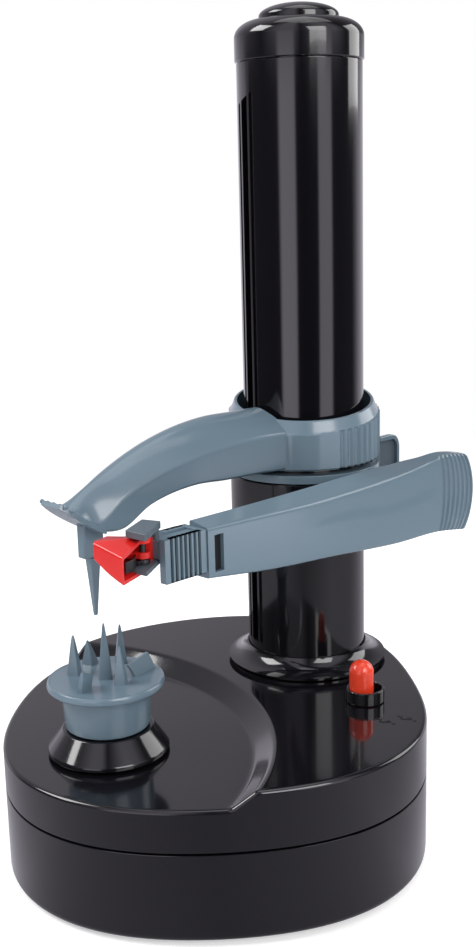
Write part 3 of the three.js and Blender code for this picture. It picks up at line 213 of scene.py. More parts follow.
def fillet(corners: Sequence[Sequence[float]], radius: float | Sequence[float], steps: int = 5,
           closed: bool = False) -> Array:
    """A polyline whose corners are rounded.

    Each corner P becomes a bent curve from A to B, which lie the radius away from it along its two
    sides, or under half a side where that is short.

    Args:
        corners: the corner points.
        radius: one radius, or one for each corner.
        steps: points on each rounded corner.
        closed: whether the last point joins the first.

    Returns:
        Array of shape (n, 2).
    """
    at = np.asarray(corners, float)
    size = np.broadcast_to(np.asarray(radius, float), (len(at),))[:, None].copy()
    before, after = np.roll(at, 1, axis=0) - at, np.roll(at, -1, axis=0) - at
    if not closed:
        size[[0, -1]] = 0.0
    spans = [np.linalg.norm(way, axis=1, keepdims=True) for way in (before, after)]
    ends = [at + way / np.maximum(span, TINY) * np.minimum(size, 0.48 * span)
            for way, span in zip((before, after), spans)]
    s = np.linspace(0.0, 1.0, steps)[None, :, None]
    curve = bent(ends[0][:, None], at[:, None], ends[1][:, None], s).reshape(-1, 2)
    apart = np.linalg.norm(np.diff(curve, axis=0), axis=1) > 1e-6
    curve = curve[np.concatenate([[True], apart])]
    if closed and np.linalg.norm(curve[0] - curve[-1]) < 1e-6:
        curve = curve[:-1]
    return curve


def rounded(corners: Array, radius: float, steps: int = 5, along: int = 0) -> Array:
    """Rounded closed polygons, one for each row of corners, curved at the corners as in fillet.

    Args:
        corners: array (n, k, 2).
        radius: how far from a corner its curve begins.
        steps: points on each curve.
        along: points on each straight side.

    Returns:
        Array (n, k * (steps + along), 2).
    """
    ends = []
    for shift in (1, -1):
        way = np.roll(corners, shift, axis=1) - corners
        span = np.maximum(np.linalg.norm(way, axis=2, keepdims=True), TINY)
        ends.append(corners + way / span * np.minimum(radius, 0.48 * span))
    s = np.linspace(0.0, 1.0, steps)[None, None, :, None]
    curve = bent(ends[0][:, :, None], corners[:, :, None], ends[1][:, :, None], s)
    t = np.linspace(0.0, 1.0, along + 2)[None, None, 1:-1, None]
    side = curve[:, :, -1:] * (1 - t) + np.roll(curve, -1, axis=1)[:, :, :1] * t
    return np.concatenate([curve, side], axis=2).reshape(len(corners), -1, 2)


def inset(outline: Array, depth: Array) -> Array:
    """A closed outline moved inwards, for each depth, along its own normals.

    Args:
        outline: array (n, 2), counter-clockwise.
        depth: array (k,) of distances.

    Returns:
        Array (k, n, 2).
    """
    along = np.roll(outline, -1, axis=0) - np.roll(outline, 1, axis=0)
    along /= np.maximum(np.linalg.norm(along, axis=1, keepdims=True), TINY)
    inward = np.stack([-along[:, 1], along[:, 0]], axis=-1)
    area = np.sum(outline[:, 0] * np.roll(outline[:, 1], -1)
                  - outline[:, 1] * np.roll(outline[:, 0], -1))
    if area < 0:
        inward = -inward
    return outline[None] + depth[:, None, None] * inward[None]


def slab(outline: Array, low: float, high: float, edge: float = 0.4, steps: int = 4) -> Skin:
    """An outline raised from low to high with rounded rims.

    At a rim the outline is inset by edge (1 - sin a) while its height runs by edge (1 - cos a).

    Args:
        outline: closed outline (n, 2).
        low: height of the lower face.
        high: height of the upper face.
        edge: radius of the rims.
        steps: rings on each rim.

    Returns:
        A closed skin.
    """
    a = np.linspace(0.0, TURN / 4, steps)
    depth = np.concatenate([edge * (1 - np.sin(a)), edge * (1 - np.sin(a[::-1]))])
    height = np.concatenate([low + edge * (1 - np.cos(a)), high - edge * (1 - np.cos(a[::-1]))])
    flat = inset(np.asarray(outline, float), depth)
    rise = np.broadcast_to(height[:, None, None], flat.shape[:2] + (1,))
    return loft(np.concatenate([flat, rise], axis=-1))


def brick(x: Pair, y: Pair, z: Pair, edge: float = 0.3, corner: float = 0.3) -> Skin:
    """A rectangular block with rounded corners and rims."""
    corners = [(x[0], y[0]), (x[1], y[0]), (x[1], y[1]), (x[0], y[1])]
    return slab(fillet(corners, corner, 4, closed=True), z[0], z[1], edge)


def disc(radius: float, low: float, high: float, edge: float = 0.2, sides: int = 48) -> Skin:
    """A round rod with rounded rims."""
    return revolve(fillet([(0, low), (radius, low), (radius, high), (0, high)], edge, 4), sides)


def tube(inner: float, outer: float, low: float, high: float, edge: float = 0.2,
         sides: int = 96) -> Skin:
    """A round tube with rounded rims."""
    loop = fillet([(inner, low), (outer, low), (outer, high), (inner, high)], edge, 4, closed=True)
    return revolve(np.concatenate([loop, loop[:1]]), sides)


def arc(centre: Pair, radii: Pair, degrees: Pair, steps: int = 12) -> Array:
    """Points on an ellipse's arc: centre + (a cos t, b sin t)."""
    t = np.radians(np.linspace(*degrees, steps))
    return np.stack([centre[0] + radii[0] * np.cos(t), centre[1] + radii[1] * np.sin(t)], axis=-1)


def spline(stations: Sequence[float], values: Sequence[float], at: Array) -> Array:
    """A smooth curve through values at stations: cubic pieces with averaged slopes (Hermite).

    Args:
        stations: rising places.
        values: the value at each station.
        at: array of places.

    Returns:
        The value at each place, as an array of its shape.
    """
    x, y = np.asarray(stations, float), np.asarray(values, float)
    slopes = np.gradient(y, x)
    i = np.clip(np.searchsorted(x, at) - 1, 0, len(x) - 2)
    span = x[i + 1] - x[i]
    t = np.clip((at - x[i]) / span, 0.0, 1.0)
    return ((1 + 2 * t) * (1 - t) ** 2 * y[i] + t * (1 - t) ** 2 * span * slopes[i]
            + t ** 2 * (3 - 2 * t) * y[i + 1] - t ** 2 * (1 - t) * span * slopes[i + 1])


def smooth(at: Array, start: float, end: float) -> Array:
    """A step from 0 to 1 between start and end: 3t^2 - 2t^3."""
    t = np.clip((at - start) / (end - start), 0.0, 1.0)
    return t * t * (3 - 2 * t)


# Shader graphs


class Tap:
    """A shader socket on which sums and products add Math nodes."""

    def __init__(self, graph: "Graph", socket: bpy.types.NodeSocket | None) -> None:
        """Keeps the graph and the output socket, which an output node doesn't have."""
        self.graph = graph
        self.socket = socket

    def sibling(self, output: str) -> "Tap":
        """Another output of the same node."""
        return Tap(self.graph, self.socket.node.outputs[output])

    def __add__(self, other: "Tap | float") -> "Tap":
        """self + other."""
        return self.graph.maths("ADD", self, other)

    __radd__ = __add__

    def __sub__(self, other: "Tap | float") -> "Tap":
        """self - other."""
        return self.graph.maths("SUBTRACT", self, other)

    def __rsub__(self, other: "Tap | float") -> "Tap":
        """other - self."""
        return self.graph.maths("SUBTRACT", other, self)

    def __mul__(self, other: "Tap | float") -> "Tap":
        """self * other."""
        return self.graph.maths("MULTIPLY", self, other)

    __rmul__ = __mul__

    def over(self, limit: float) -> "Tap":
        """1 where self is over the limit, otherwise 0."""
        return self.graph.maths("GREATER_THAN", self, limit)

    def clipped(self) -> "Tap":
        """self held between 0 and 1."""
        return self.graph.node("ShaderNodeClamp", {}, {"Value": self})


class Graph:
    """The node tree of one material or world."""

    def __init__(self, tree: bpy.types.NodeTree) -> None:
        """Empties the tree."""
        self.tree = tree
        tree.nodes.clear()

    def node(self, kind: str, settings: dict | None = None, inputs: dict | None = None,
             output: int | str = 0) -> Tap:
        """Adds one node.

        Args:
            kind: the node's type name.
            settings: attributes set first; "stops" fills a colour ramp with (place, colour) pairs.
            inputs: values or taps, by socket name or index.
            output: which output to hand back.

        Returns:
            The output as a Tap.
        """
        made = self.tree.nodes.new(kind)
        for key, value in (settings or {}).items():
            if key == "stops":
                self._fill_ramp(made.color_ramp, value)
            else:
                setattr(made, key, value)
        for key, value in (inputs or {}).items():
            socket = made.inputs[key]
            if isinstance(value, Tap):
                self.tree.links.new(value.socket, socket)
            else:
                socket.default_value = value
        return Tap(self, made.outputs[output] if made.outputs else None)

    @staticmethod
    def _fill_ramp(ramp: bpy.types.ColorRamp,
                   stops: Sequence[tuple[float, Sequence[float]]]) -> None:
        """Sets a ramp's stops.

        Args:
            ramp: the ramp of a new node.
            stops: its (place, colour) pairs, in order.
        """
        while len(ramp.elements) > 1:
            ramp.elements.remove(ramp.elements[-1])
        for i, (place, colour) in enumerate(stops):
            element = ramp.elements[0] if i == 0 else ramp.elements.new(place)
            element.position = place
            element.color = tuple(colour)

    def maths(self, operation: str, first: Tap | float, second: Tap | float = 0.0) -> Tap:
        """One Math node on one or two values."""
        return self.node("ShaderNodeMath", {"operation": operation}, {0: first, 1: second})

    def place(self) -> Tap:
        """Object coordinates."""
        return self.node("ShaderNodeTexCoord", output="Object")

    def stretched(self, scale: Triple) -> Tap:
        """Object coordinates scaled on each axis."""
        return self.node("ShaderNodeMapping", {}, {"Vector": self.place(), "Scale": scale})

    def noise(self, scale: float, detail: float = 3.0, vector: Tap | None = None,
              roughness: float = 0.5) -> Tap:
        """Perlin noise from 0 to 1 on the object's own coordinates."""
        inputs = {"Vector": vector or self.place(), "Scale": scale, "Detail": detail,
                  "Roughness": roughness}
        return self.node("ShaderNodeTexNoise", {}, inputs)

    def mixed(self, factor: Tap | float, first: Tap | Sequence[float],
              second: Tap | Sequence[float]) -> Tap:
        """A colour between two."""
        return self.node("ShaderNodeMix", {"data_type": "RGBA"},
                         {0: factor, 6: first, 7: second}, output=2)

    def bump(self, height: Tap, strength: float, distance: float) -> Tap:
        """A normal from a height."""
        return self.node("ShaderNodeBump", {}, {"Height": height, "Strength": strength,
                                                "Distance": distance})

    def fade(self, value: Tap, start: float, end: float) -> Tap:
        """A smooth step from 0 to 1 while the value runs from start to end."""
        return self.node("ShaderNodeMapRange", {"interpolation_type": "SMOOTHSTEP"},
                         {"Value": value, "From Min": start, "From Max": end})

    def close(self, shader: Tap, kind: str = "Material") -> None:
        """A shader into the output node of a material or a world."""
        self.node(f"ShaderNodeOutput{kind}", {}, {"Surface": shader})

    def surface(self, inputs: dict) -> None:
        """A Principled shader into the output."""
        self.close(self.node("ShaderNodeBsdfPrincipled", {}, inputs))


def fresh_material(name: str) -> tuple[bpy.types.Material, Graph]:
    """A new material with an empty graph.

    Args:
        name: the material's name.

    Returns:
        The material and its graph.
    """
    material = bpy.data.materials.new(name)
    material.use_nodes = True
    return material, Graph(material.node_tree)


def linear(red: int, green: int, blue: int) -> tuple[float, float, float, float]:
    """A display colour as linear light, by the curve of the sRGB standard.

    Args:
        red: 0 to 255.
        green: 0 to 255.
        blue: 0 to 255.

    Returns:
        The colour with an alpha of 1.
    """
    value = np.array([red, green, blue]) / 255.0
    light = np.where(value <= 0.04045, value / 12.92, ((value + 0.055) / 1.055) ** 2.4)
    return (*light.tolist(), 1.0)


def shade(colour: Sequence[float], factor: float) -> tuple[float, float, float, float]:
    """A colour made lighter or darker."""
    return (*[min(1.0, part * factor) for part in colour[:3]], 1.0)


@dataclass(frozen=True)
class Finish:
    """A finish of the record, as a material that is made once."""

    slot: str
    label: str

    def make(self) -> bpy.types.Material:
        """The material, made at its first use.

        Returns:
            The material with this finish's label.
        """
        found = bpy.data.materials.get(self.label)
        if found is None:
            found, graph = fresh_material(self.label)
            self.paint(graph)
        return found

    def paint(self, graph: Graph) -> None:
        """Builds the nodes."""
        raise NotImplementedError


@dataclass(frozen=True)
class GlossPlastic(Finish):
    """Polished moulded plastic: faint flow marks in colour, scuffs and dust in roughness."""

    colour: Sequence[float] = (0.01, 0.01, 0.012, 1.0)
    roughness: float = 0.08
    coat: float = 0.3
    ior: float = 1.5
    ripple: float = 0.02

    def paint(self, graph: Graph) -> None:
        """Colour, roughness and a very slight ripple in the normal.

        Args:
            graph: the material's empty graph.
        """
        flow = graph.noise(14.0, 2.0)
        dust = graph.noise(900.0, 2.0)
        hair = graph.noise(260.0, 4.0, graph.stretched((1.0, 1.0, 0.12)), 0.7)
        specks = dust.over(0.74)
        base = graph.mixed(flow, shade(self.colour, 0.85), shade(self.colour, 1.18))
        rough = self.roughness + hair * 0.05 + specks * 0.08 + flow * 0.02
        wave = graph.noise(38.0, 1.0)
        graph.surface({
            "Base Color": base, "Roughness": rough, "IOR": self.ior, "Coat Weight": self.coat,
            "Coat Roughness": 0.03, "Normal": graph.bump(wave, self.ripple, 0.0006)})


@dataclass(frozen=True)
class SatinPlastic(Finish):
    """Satin moulded plastic: cloudy tint, a fine spark-eroded grain and a few rubbed places."""

    colour: Sequence[float] = (0.2, 0.25, 0.28, 1.0)
    roughness: float = 0.32
    grain: float = 0.015
    coat: float = 0.0

    def paint(self, graph: Graph) -> None:
        """Clouds in colour, grain in the normal, rubbed places in roughness.

        Args:
            graph: the material's empty graph.
        """
        cloud = graph.noise(18.0, 3.0)
        speck = graph.noise(1500.0, 2.0)
        rubbed = graph.noise(45.0, 5.0, roughness=0.65)
        base = graph.mixed(cloud, shade(self.colour, 0.95), shade(self.colour, 1.05))
        rough = self.roughness + rubbed * 0.08 - 0.04 + speck * 0.03
        graph.surface({
            "Base Color": base, "Roughness": rough, "IOR": 1.48,
            "Coat Weight": self.coat, "Coat Roughness": 0.12,
            "Normal": graph.bump(rubbed + speck * 0.15, self.grain, 0.0002)})


@dataclass(frozen=True)
class BrushedMetal(Finish):
    """Bright metal with drawn lines along Z and faint stains."""

    colour: Sequence[float] = (0.6, 0.61, 0.62, 1.0)
    roughness: float = 0.22

    def paint(self, graph: Graph) -> None:
        """Lines in roughness and normal.

        Args:
            graph: the material's empty graph.
        """
        lines = graph.noise(500.0, 3.0, graph.stretched((1.0, 1.0, 0.05)))
        stain = graph.noise(60.0, 4.0)
        base = graph.mixed(stain, shade(self.colour, 0.86), shade(self.colour, 1.1))
        graph.surface({
            "Base Color": base, "Metallic": 1.0, "Roughness": self.roughness + lines * 0.16,
            "Normal": graph.bump(lines, 0.1, 0.0002)})


@dataclass(frozen=True)
class Rubber(Finish):
    """Matt rubber with a dusty grain."""

    colour: Sequence[float] = (0.02, 0.02, 0.02, 1.0)

    def paint(self, graph: Graph) -> None:
        """Dust in colour and grain in the normal.

        Args:
            graph: the material's empty graph.
        """
        dust = graph.noise(300.0, 5.0)
        base = graph.mixed(dust, self.colour, shade(self.colour, 2.2))
        graph.surface({"Base Color": base, "Roughness": 0.75 + dust * 0.15,
                       "Normal": graph.bump(dust, 0.25, 0.0003)})


@dataclass(frozen=True)
class CellWrap(Finish):
    """The film round a dry cell: one colour, glossy, with fine wrinkles."""

    colour: Sequence[float] = (0.03, 0.14, 0.06, 1.0)

    def paint(self, graph: Graph) -> None:
        """Film wrinkles in the normal and a soft change of colour.

        Args:
            graph: the material's empty graph.
        """
        wrinkle = graph.noise(220.0, 3.0, graph.stretched((1.0, 0.2, 1.0)))
        base = graph.mixed(wrinkle.over(0.62), self.colour, shade(self.colour, 1.25))
        graph.surface({"Base Color": base, "Roughness": 0.28 + wrinkle * 0.1, "Coat Weight": 0.4,
                       "Normal": graph.bump(wrinkle, 0.12, 0.0002)})


GLOSS_BLACK = GlossPlastic("gloss_black", "polished black plastic", linear(14, 13, 17))
BLUE_GREY = SatinPlastic("blue_grey", "satin blue-grey plastic", linear(101, 120, 133), 0.2,
                         coat=0.3)
DARK_GREY = SatinPlastic("dark_grey", "satin dark grey plastic", linear(84, 95, 104), 0.36)
INNER_BLACK = SatinPlastic("inner_black", "plain black plastic", linear(20, 20, 22), 0.5)
NYLON = SatinPlastic("white_nylon", "off-white nylon", linear(226, 222, 208), 0.4)
GUARD_RED = GlossPlastic("guard_red", "red guard plastic", linear(214, 34, 30), 0.22, 0.2)
LEVER_RED = GlossPlastic("lever_red", "orange-red switch plastic", linear(232, 66, 38), 0.2, 0.3)
STEEL = BrushedMetal("steel", "bright steel")
BLADE_STEEL = BrushedMetal("steel", "honed blade steel", (0.1, 0.1, 0.105, 1.0), 0.32)
RUBBER = Rubber("rubber", "matt rubber")
CELL = CellWrap("cell_wrap", "dry cell film")
FINISHES = [GLOSS_BLACK, BLUE_GREY, DARK_GREY, INNER_BLACK, NYLON, GUARD_RED, LEVER_RED, STEEL,
            RUBBER, CELL]


# Objects


def link(name: str, data: bpy.types.ID) -> bpy.types.Object:
    """A new object with this data, linked to the scene.

    Args:
        name: the object's name.
        data: its mesh, camera or lamp.

    Returns:
        The object, at the origin.
    """
    made = bpy.data.objects.new(name, data)
    bpy.context.scene.collection.objects.link(made)
    return made


@dataclass
class Workshop:
    """Turns skins into objects of the scene, moved from the tower's frame to the row frame."""

    tower: Triple
    pieces: int = 0

    def mesh(self, name: str, skin: Skin) -> bpy.types.Object:
        """An object with the skin's mesh, its doubles merged and its faces outwards.

        Args:
            name: the object's name.
            skin: the surface in the tower's frame.

        Returns:
            The object, at the origin.
        """
        data = bpy.data.meshes.new(name)
        points = (skin.points + np.array(self.tower)) * MILLIMETRE
        faces = [face for block in skin.faces for face in block.tolist()]
        data.from_pydata(points.tolist(), [], faces)
        shape = bmesh.new()
        shape.from_mesh(data)
        bmesh.ops.remove_doubles(shape, verts=shape.verts, dist=1e-6)
        bmesh.ops.dissolve_degenerate(shape, edges=shape.edges, dist=1e-8)
        bmesh.ops.recalc_face_normals(shape, faces=shape.faces)
        shape.to_mesh(data)
        shape.free()
        return link(name, data)

    def combine(self, first: bpy.types.Object, solver: Solver, skins: Sequence[Skin]) -> None:
        """Cuts skins out of an object, or adds them to it.

        Args:
            first: the object that is changed.
            solver: cut or add.
            skins: closed skins, used one after the other.
        """
        tools = [self.mesh(f"{first.name}_tool_{i}", skin) for i, skin in enumerate(skins)]
        for tool in tools:
            change = first.modifiers.new("combine", "BOOLEAN")
            change.object = tool
            change.operation = solver.value
            change.solver = "MANIFOLD"
        self.bake(first)
        for tool in tools:
            old = tool.data
            bpy.data.objects.remove(tool)
            bpy.data.meshes.remove(old)

    @staticmethod
    def bake(piece: bpy.types.Object) -> None:
        """Replaces a piece's mesh by what its modifiers make of it.

        Args:
            piece: the object.
        """
        bpy.context.view_layer.update()
        seen = piece.evaluated_get(bpy.context.evaluated_depsgraph_get())
        data = bpy.data.meshes.new_from_object(seen)
        piece.modifiers.clear()
        old, piece.data = piece.data, data
        bpy.data.meshes.remove(old)

    def weigh(self, piece: bpy.types.Object) -> None:
        """Turns shading normals towards larger faces, so long flat walls stay flat to the rim.

        Args:
            piece: the object.
        """
        change = piece.modifiers.new("weigh", "WEIGHTED_NORMAL")
        change.keep_sharp = True
        change.weight = 80
        self.bake(piece)

    def add(self, name: str, skin: Skin, finish: Finish, body: Body, *nodes: str,
            crease: float = 32.0, steps: Sequence[Step] = ()) -> None:
        """Makes a piece, joins and cuts it, and gives it its finish, body and nodes.

        Args:
            name: the piece's name.
            skin: its surface before the steps.
            finish: its finish.
            body: the body it rides on.
            *nodes: CAD nodes that it replaces.
            crease: edges sharper than this stay sharp, in degrees.
            steps: what is joined to it or cut from it, in order.
        """
        piece = self.mesh(name, skin)
        for solver, skins in steps:
            self.combine(piece, solver, skins)
        piece.data.shade_smooth()
        piece.data.set_sharp_from_angle(angle=math.radians(crease))
        self.weigh(piece)
        piece.data.materials.clear()
        piece.data.materials.append(finish.make())
        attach(piece, body.value)
        if nodes:
            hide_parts(*nodes)
        self.pieces += 1
        log.info("%s: %d faces on %s", piece.name, len(piece.data.polygons), body.value)


@dataclass
class Housing:
    """The base: two shells that follow a lobed outline, the feet and the battery door."""

    radius: float = 78.66
    lobes: tuple[Pair, ...] = ((0.019, 0.03), (-0.02, -0.047), (0.023, 0.008), (0.022, 0.011))
    centre: float = -51.4
    bottom: float = 1.2
    seam: float = 31.4
    seam_gap: float = 0.6
    deck_round: float = 1.4
    deck_rings: int = 130
    bottom_round: float = 2.8
    wall: float = 2.4
    floor: float = 3.4
    recess_floor: float = 45.7
    recess_centre: Pair = (-24.8, -134.7)
    recess_radii: Pair = (91.7, 98.7)
    ceiling: float = 43.2
    post_degrees: tuple[float, ...] = (55, 131, -128, -45)
    post_inset: float = 12.0
    bay_centre: Pair = (-22.0, -62.0)
    bay_half: Pair = (29.75, 26.35)
    bay_wall: float = 1.8
    bay_roof: Pair = (18.6, 20.8)
    shaft_hole: float = 6.3
    lever_hole: float = 3.5
    well: Pair = (6.3, 3.5)
    sole: tuple[Pair, ...] = ((0, 0.5), (3.6, 0.5), (4.2, 0), (5.4, 0), (6, 0.8), (6, 2), (0, 2))
    sides: int = 480

    def reach(self, angle: Array) -> Array:
        """The outline's radius: R (1 + the sum of a cos k t + b sin k t over the lobes).

        Args:
            angle: array of azimuths t, in radians.

        Returns:
            The radius at each azimuth.
        """
        share = np.ones_like(angle)
        for k, (along, across) in enumerate(self.lobes, 1):
            share = share + along * np.cos(k * angle) + across * np.sin(k * angle)
        return self.radius * share

    def ring(self, depth: Array, height: Array) -> Array:
        """Rings of the outline, one for each depth below it and height.

        Args:
            depth: array (k,) of insets.
            height: array (k,) or (k, n) of heights.

        Returns:
            Array (k, n, 3).
        """
        angle = np.arange(self.sides) / self.sides * TURN
        radius = self.reach(angle)[None] - np.asarray(depth, float)[:, None]
        height = np.asarray(height, float)
        height = height[:, None] if height.ndim == 1 else height
        x, y = radius * np.cos(angle), self.centre + radius * np.sin(angle)
        return np.stack([x, y, height + 0.0 * radius], axis=-1)

    def top(self, x: Array, y: Array) -> Array:
        """The deck's height: the recess floor, a ramp with soft shoulders, then the deck.

        The ramp's share is (sqrt(t^2 + c) - sqrt((t - 1)^2 + c) + 1) / 2, a straight run from 0 to
        1 between t = 0 and t = 1 whose bends are softened by c.

        Args:
            x: array of places along X.
            y: array of places along Y.

        Returns:
            The height at each place.
        """
        gap = np.hypot(x - self.recess_centre[0], y - self.recess_centre[1])
        t = (gap - self.recess_radii[0]) / (self.recess_radii[1] - self.recess_radii[0])
        c = 0.0016
        share = (np.sqrt(t * t + c) - np.sqrt((t - 1) ** 2 + c) + 1) / 2
        return mixed(self.recess_floor, DECK, share)

    def posts(self) -> Array:
        """The middles of the four posts.

        Returns:
            Array (4, 2) of x and y.
        """
        angle = np.radians(self.post_degrees)
        radius = self.reach(angle) - self.post_inset
        return np.stack([radius * np.cos(angle), self.centre + radius * np.sin(angle)], axis=-1)

    def upper_skin(self) -> Skin:
        """A polar grid for the deck, then a rounded rim, the wall and the seam's rim.

        Returns:
            The closed skin.
        """
        angle = np.arange(self.sides) / self.sides * TURN
        radius = self.reach(angle)
        share = np.linspace(0.0, 1.0, self.deck_rings)[:, None]
        inner = share * (radius - self.deck_round)[None]
        x, y = inner * np.cos(angle), self.centre + inner * np.sin(angle)
        deck = np.stack([x, y, self.top(x, y)], axis=-1)
        edge_top = deck[-1, :, 2]
        a = np.linspace(0.0, TURN / 4, 6)[1:]
        rim = self.ring(self.deck_round * (1 - np.sin(a)),
                        edge_top[None] - self.deck_round * (1 - np.cos(a))[:, None])
        low = self.seam + self.seam_gap / 2
        wall = self.ring(np.array([0.0, 0.12, 0.4]), np.array([low + 0.4, low + 0.12, low]))
        rings = np.concatenate([deck, rim, wall])
        skin = grid(rings)
        last = np.arange(self.sides) + (len(rings) - 1) * self.sides
        return Skin(skin.points, skin.faces + [last[None, :]])

    def build(self, shop: Workshop) -> None:
        """Both shells, the feet and the battery door.

        Args:
            shop: where the pieces are made.
        """
        cavity = loft(self.ring(np.full(2, self.wall), np.array([self.seam - 3, self.ceiling])))
        holes = [disc(TOWER_RADIUS + 0.3, 40, 60, 0.0),
                 disc(self.shaft_hole, 40, 50, 0.0).moved(y=TABLE_AXIS),
                 disc(self.lever_hole, 40, 60, 0.0).moved(*SWITCH)]
        shop.add("deck_shell", self.upper_skin(), GLOSS_BLACK, Body.HOUSING, "base_upper_shell",
                 crease=28, steps=[(Solver.CUT, [cavity, *holes])])
        self.build_lower(shop)
        for i, (x, y) in enumerate(self.posts(), 1):
            foot = revolve(fillet(self.sole, 0.4, 4), 48).moved(x, y)
            shop.add(f"rubber_foot_{i}", foot, RUBBER, Body.HOUSING, f"foot_{i}")
        self.build_door(shop)

    def build_lower(self, shop: Workshop) -> None:
        """The lower shell: a rounded tray with the battery bay's box in it.

        Args:
            shop: where the pieces are made.
        """
        a = np.linspace(0.0, TURN / 4, 7)
        high = self.seam - self.seam_gap / 2
        depth = np.concatenate([self.bottom_round * (1 - np.sin(a)), [0.0, 0.12, 0.4]])
        height = np.concatenate([self.bottom + self.bottom_round * (1 - np.cos(a)),
                                 [high - 0.4, high - 0.12, high]])
        inside = loft(self.ring(np.array([self.wall + 1.5, self.wall, self.wall]),
                                np.array([self.floor, self.floor + 2, high + 3])))
        box = self.bay(self.bay_wall, self.bottom, self.bay_roof[1], 1.0)
        room = self.bay(0.0, -1.0, self.bay_roof[0], 0.4)
        wells = [disc(self.well[0], -1, self.well[1], 0.0).moved(x, y) for x, y in self.posts()]
        shop.add("lower_shell", loft(self.ring(depth, height)), GLOSS_BLACK, Body.HOUSING,
                 "base_lower_shell", crease=28,
                 steps=[(Solver.CUT, [inside]), (Solver.ADD, [box]),
                        (Solver.CUT, [room, *wells])])

    def bay(self, grow: float, low: float, high: float, corner: float,
            edge: float = 0.0) -> Skin:
        """A box over the battery bay's outline.

        Args:
            grow: how far it stands out past the outline.
            low: height of its lower face.
            high: height of its upper face.
            corner: radius of its upright edges.
            edge: radius of its rims.

        Returns:
            The closed skin.
        """
        (x, y), (a, b) = self.bay_centre, self.bay_half
        a, b = a + grow, b + grow
        return brick((x - a, x + a), (y - b, y + b), (low, high), edge, corner)

    def build_door(self, shop: Workshop) -> None:
        """The battery door with four finger grooves near its front edge.

        Args:
            shop: where the pieces are made.
        """
        x, front = self.bay_centre[0], self.bay_centre[1] - self.bay_half[1] + 3
        grooves = [brick((x - 8, x + 8), (front + 2 * i, front + 1 + 2 * i), (0, 1.8), 0.0, 0.4)
                   for i in range(4)]
        shop.add("bay_door", self.bay(-0.3, self.bottom, self.bottom + 2, 1.2, 0.3), GLOSS_BLACK,
                 Body.DOOR, "battery_door", steps=[(Solver.CUT, grooves)])


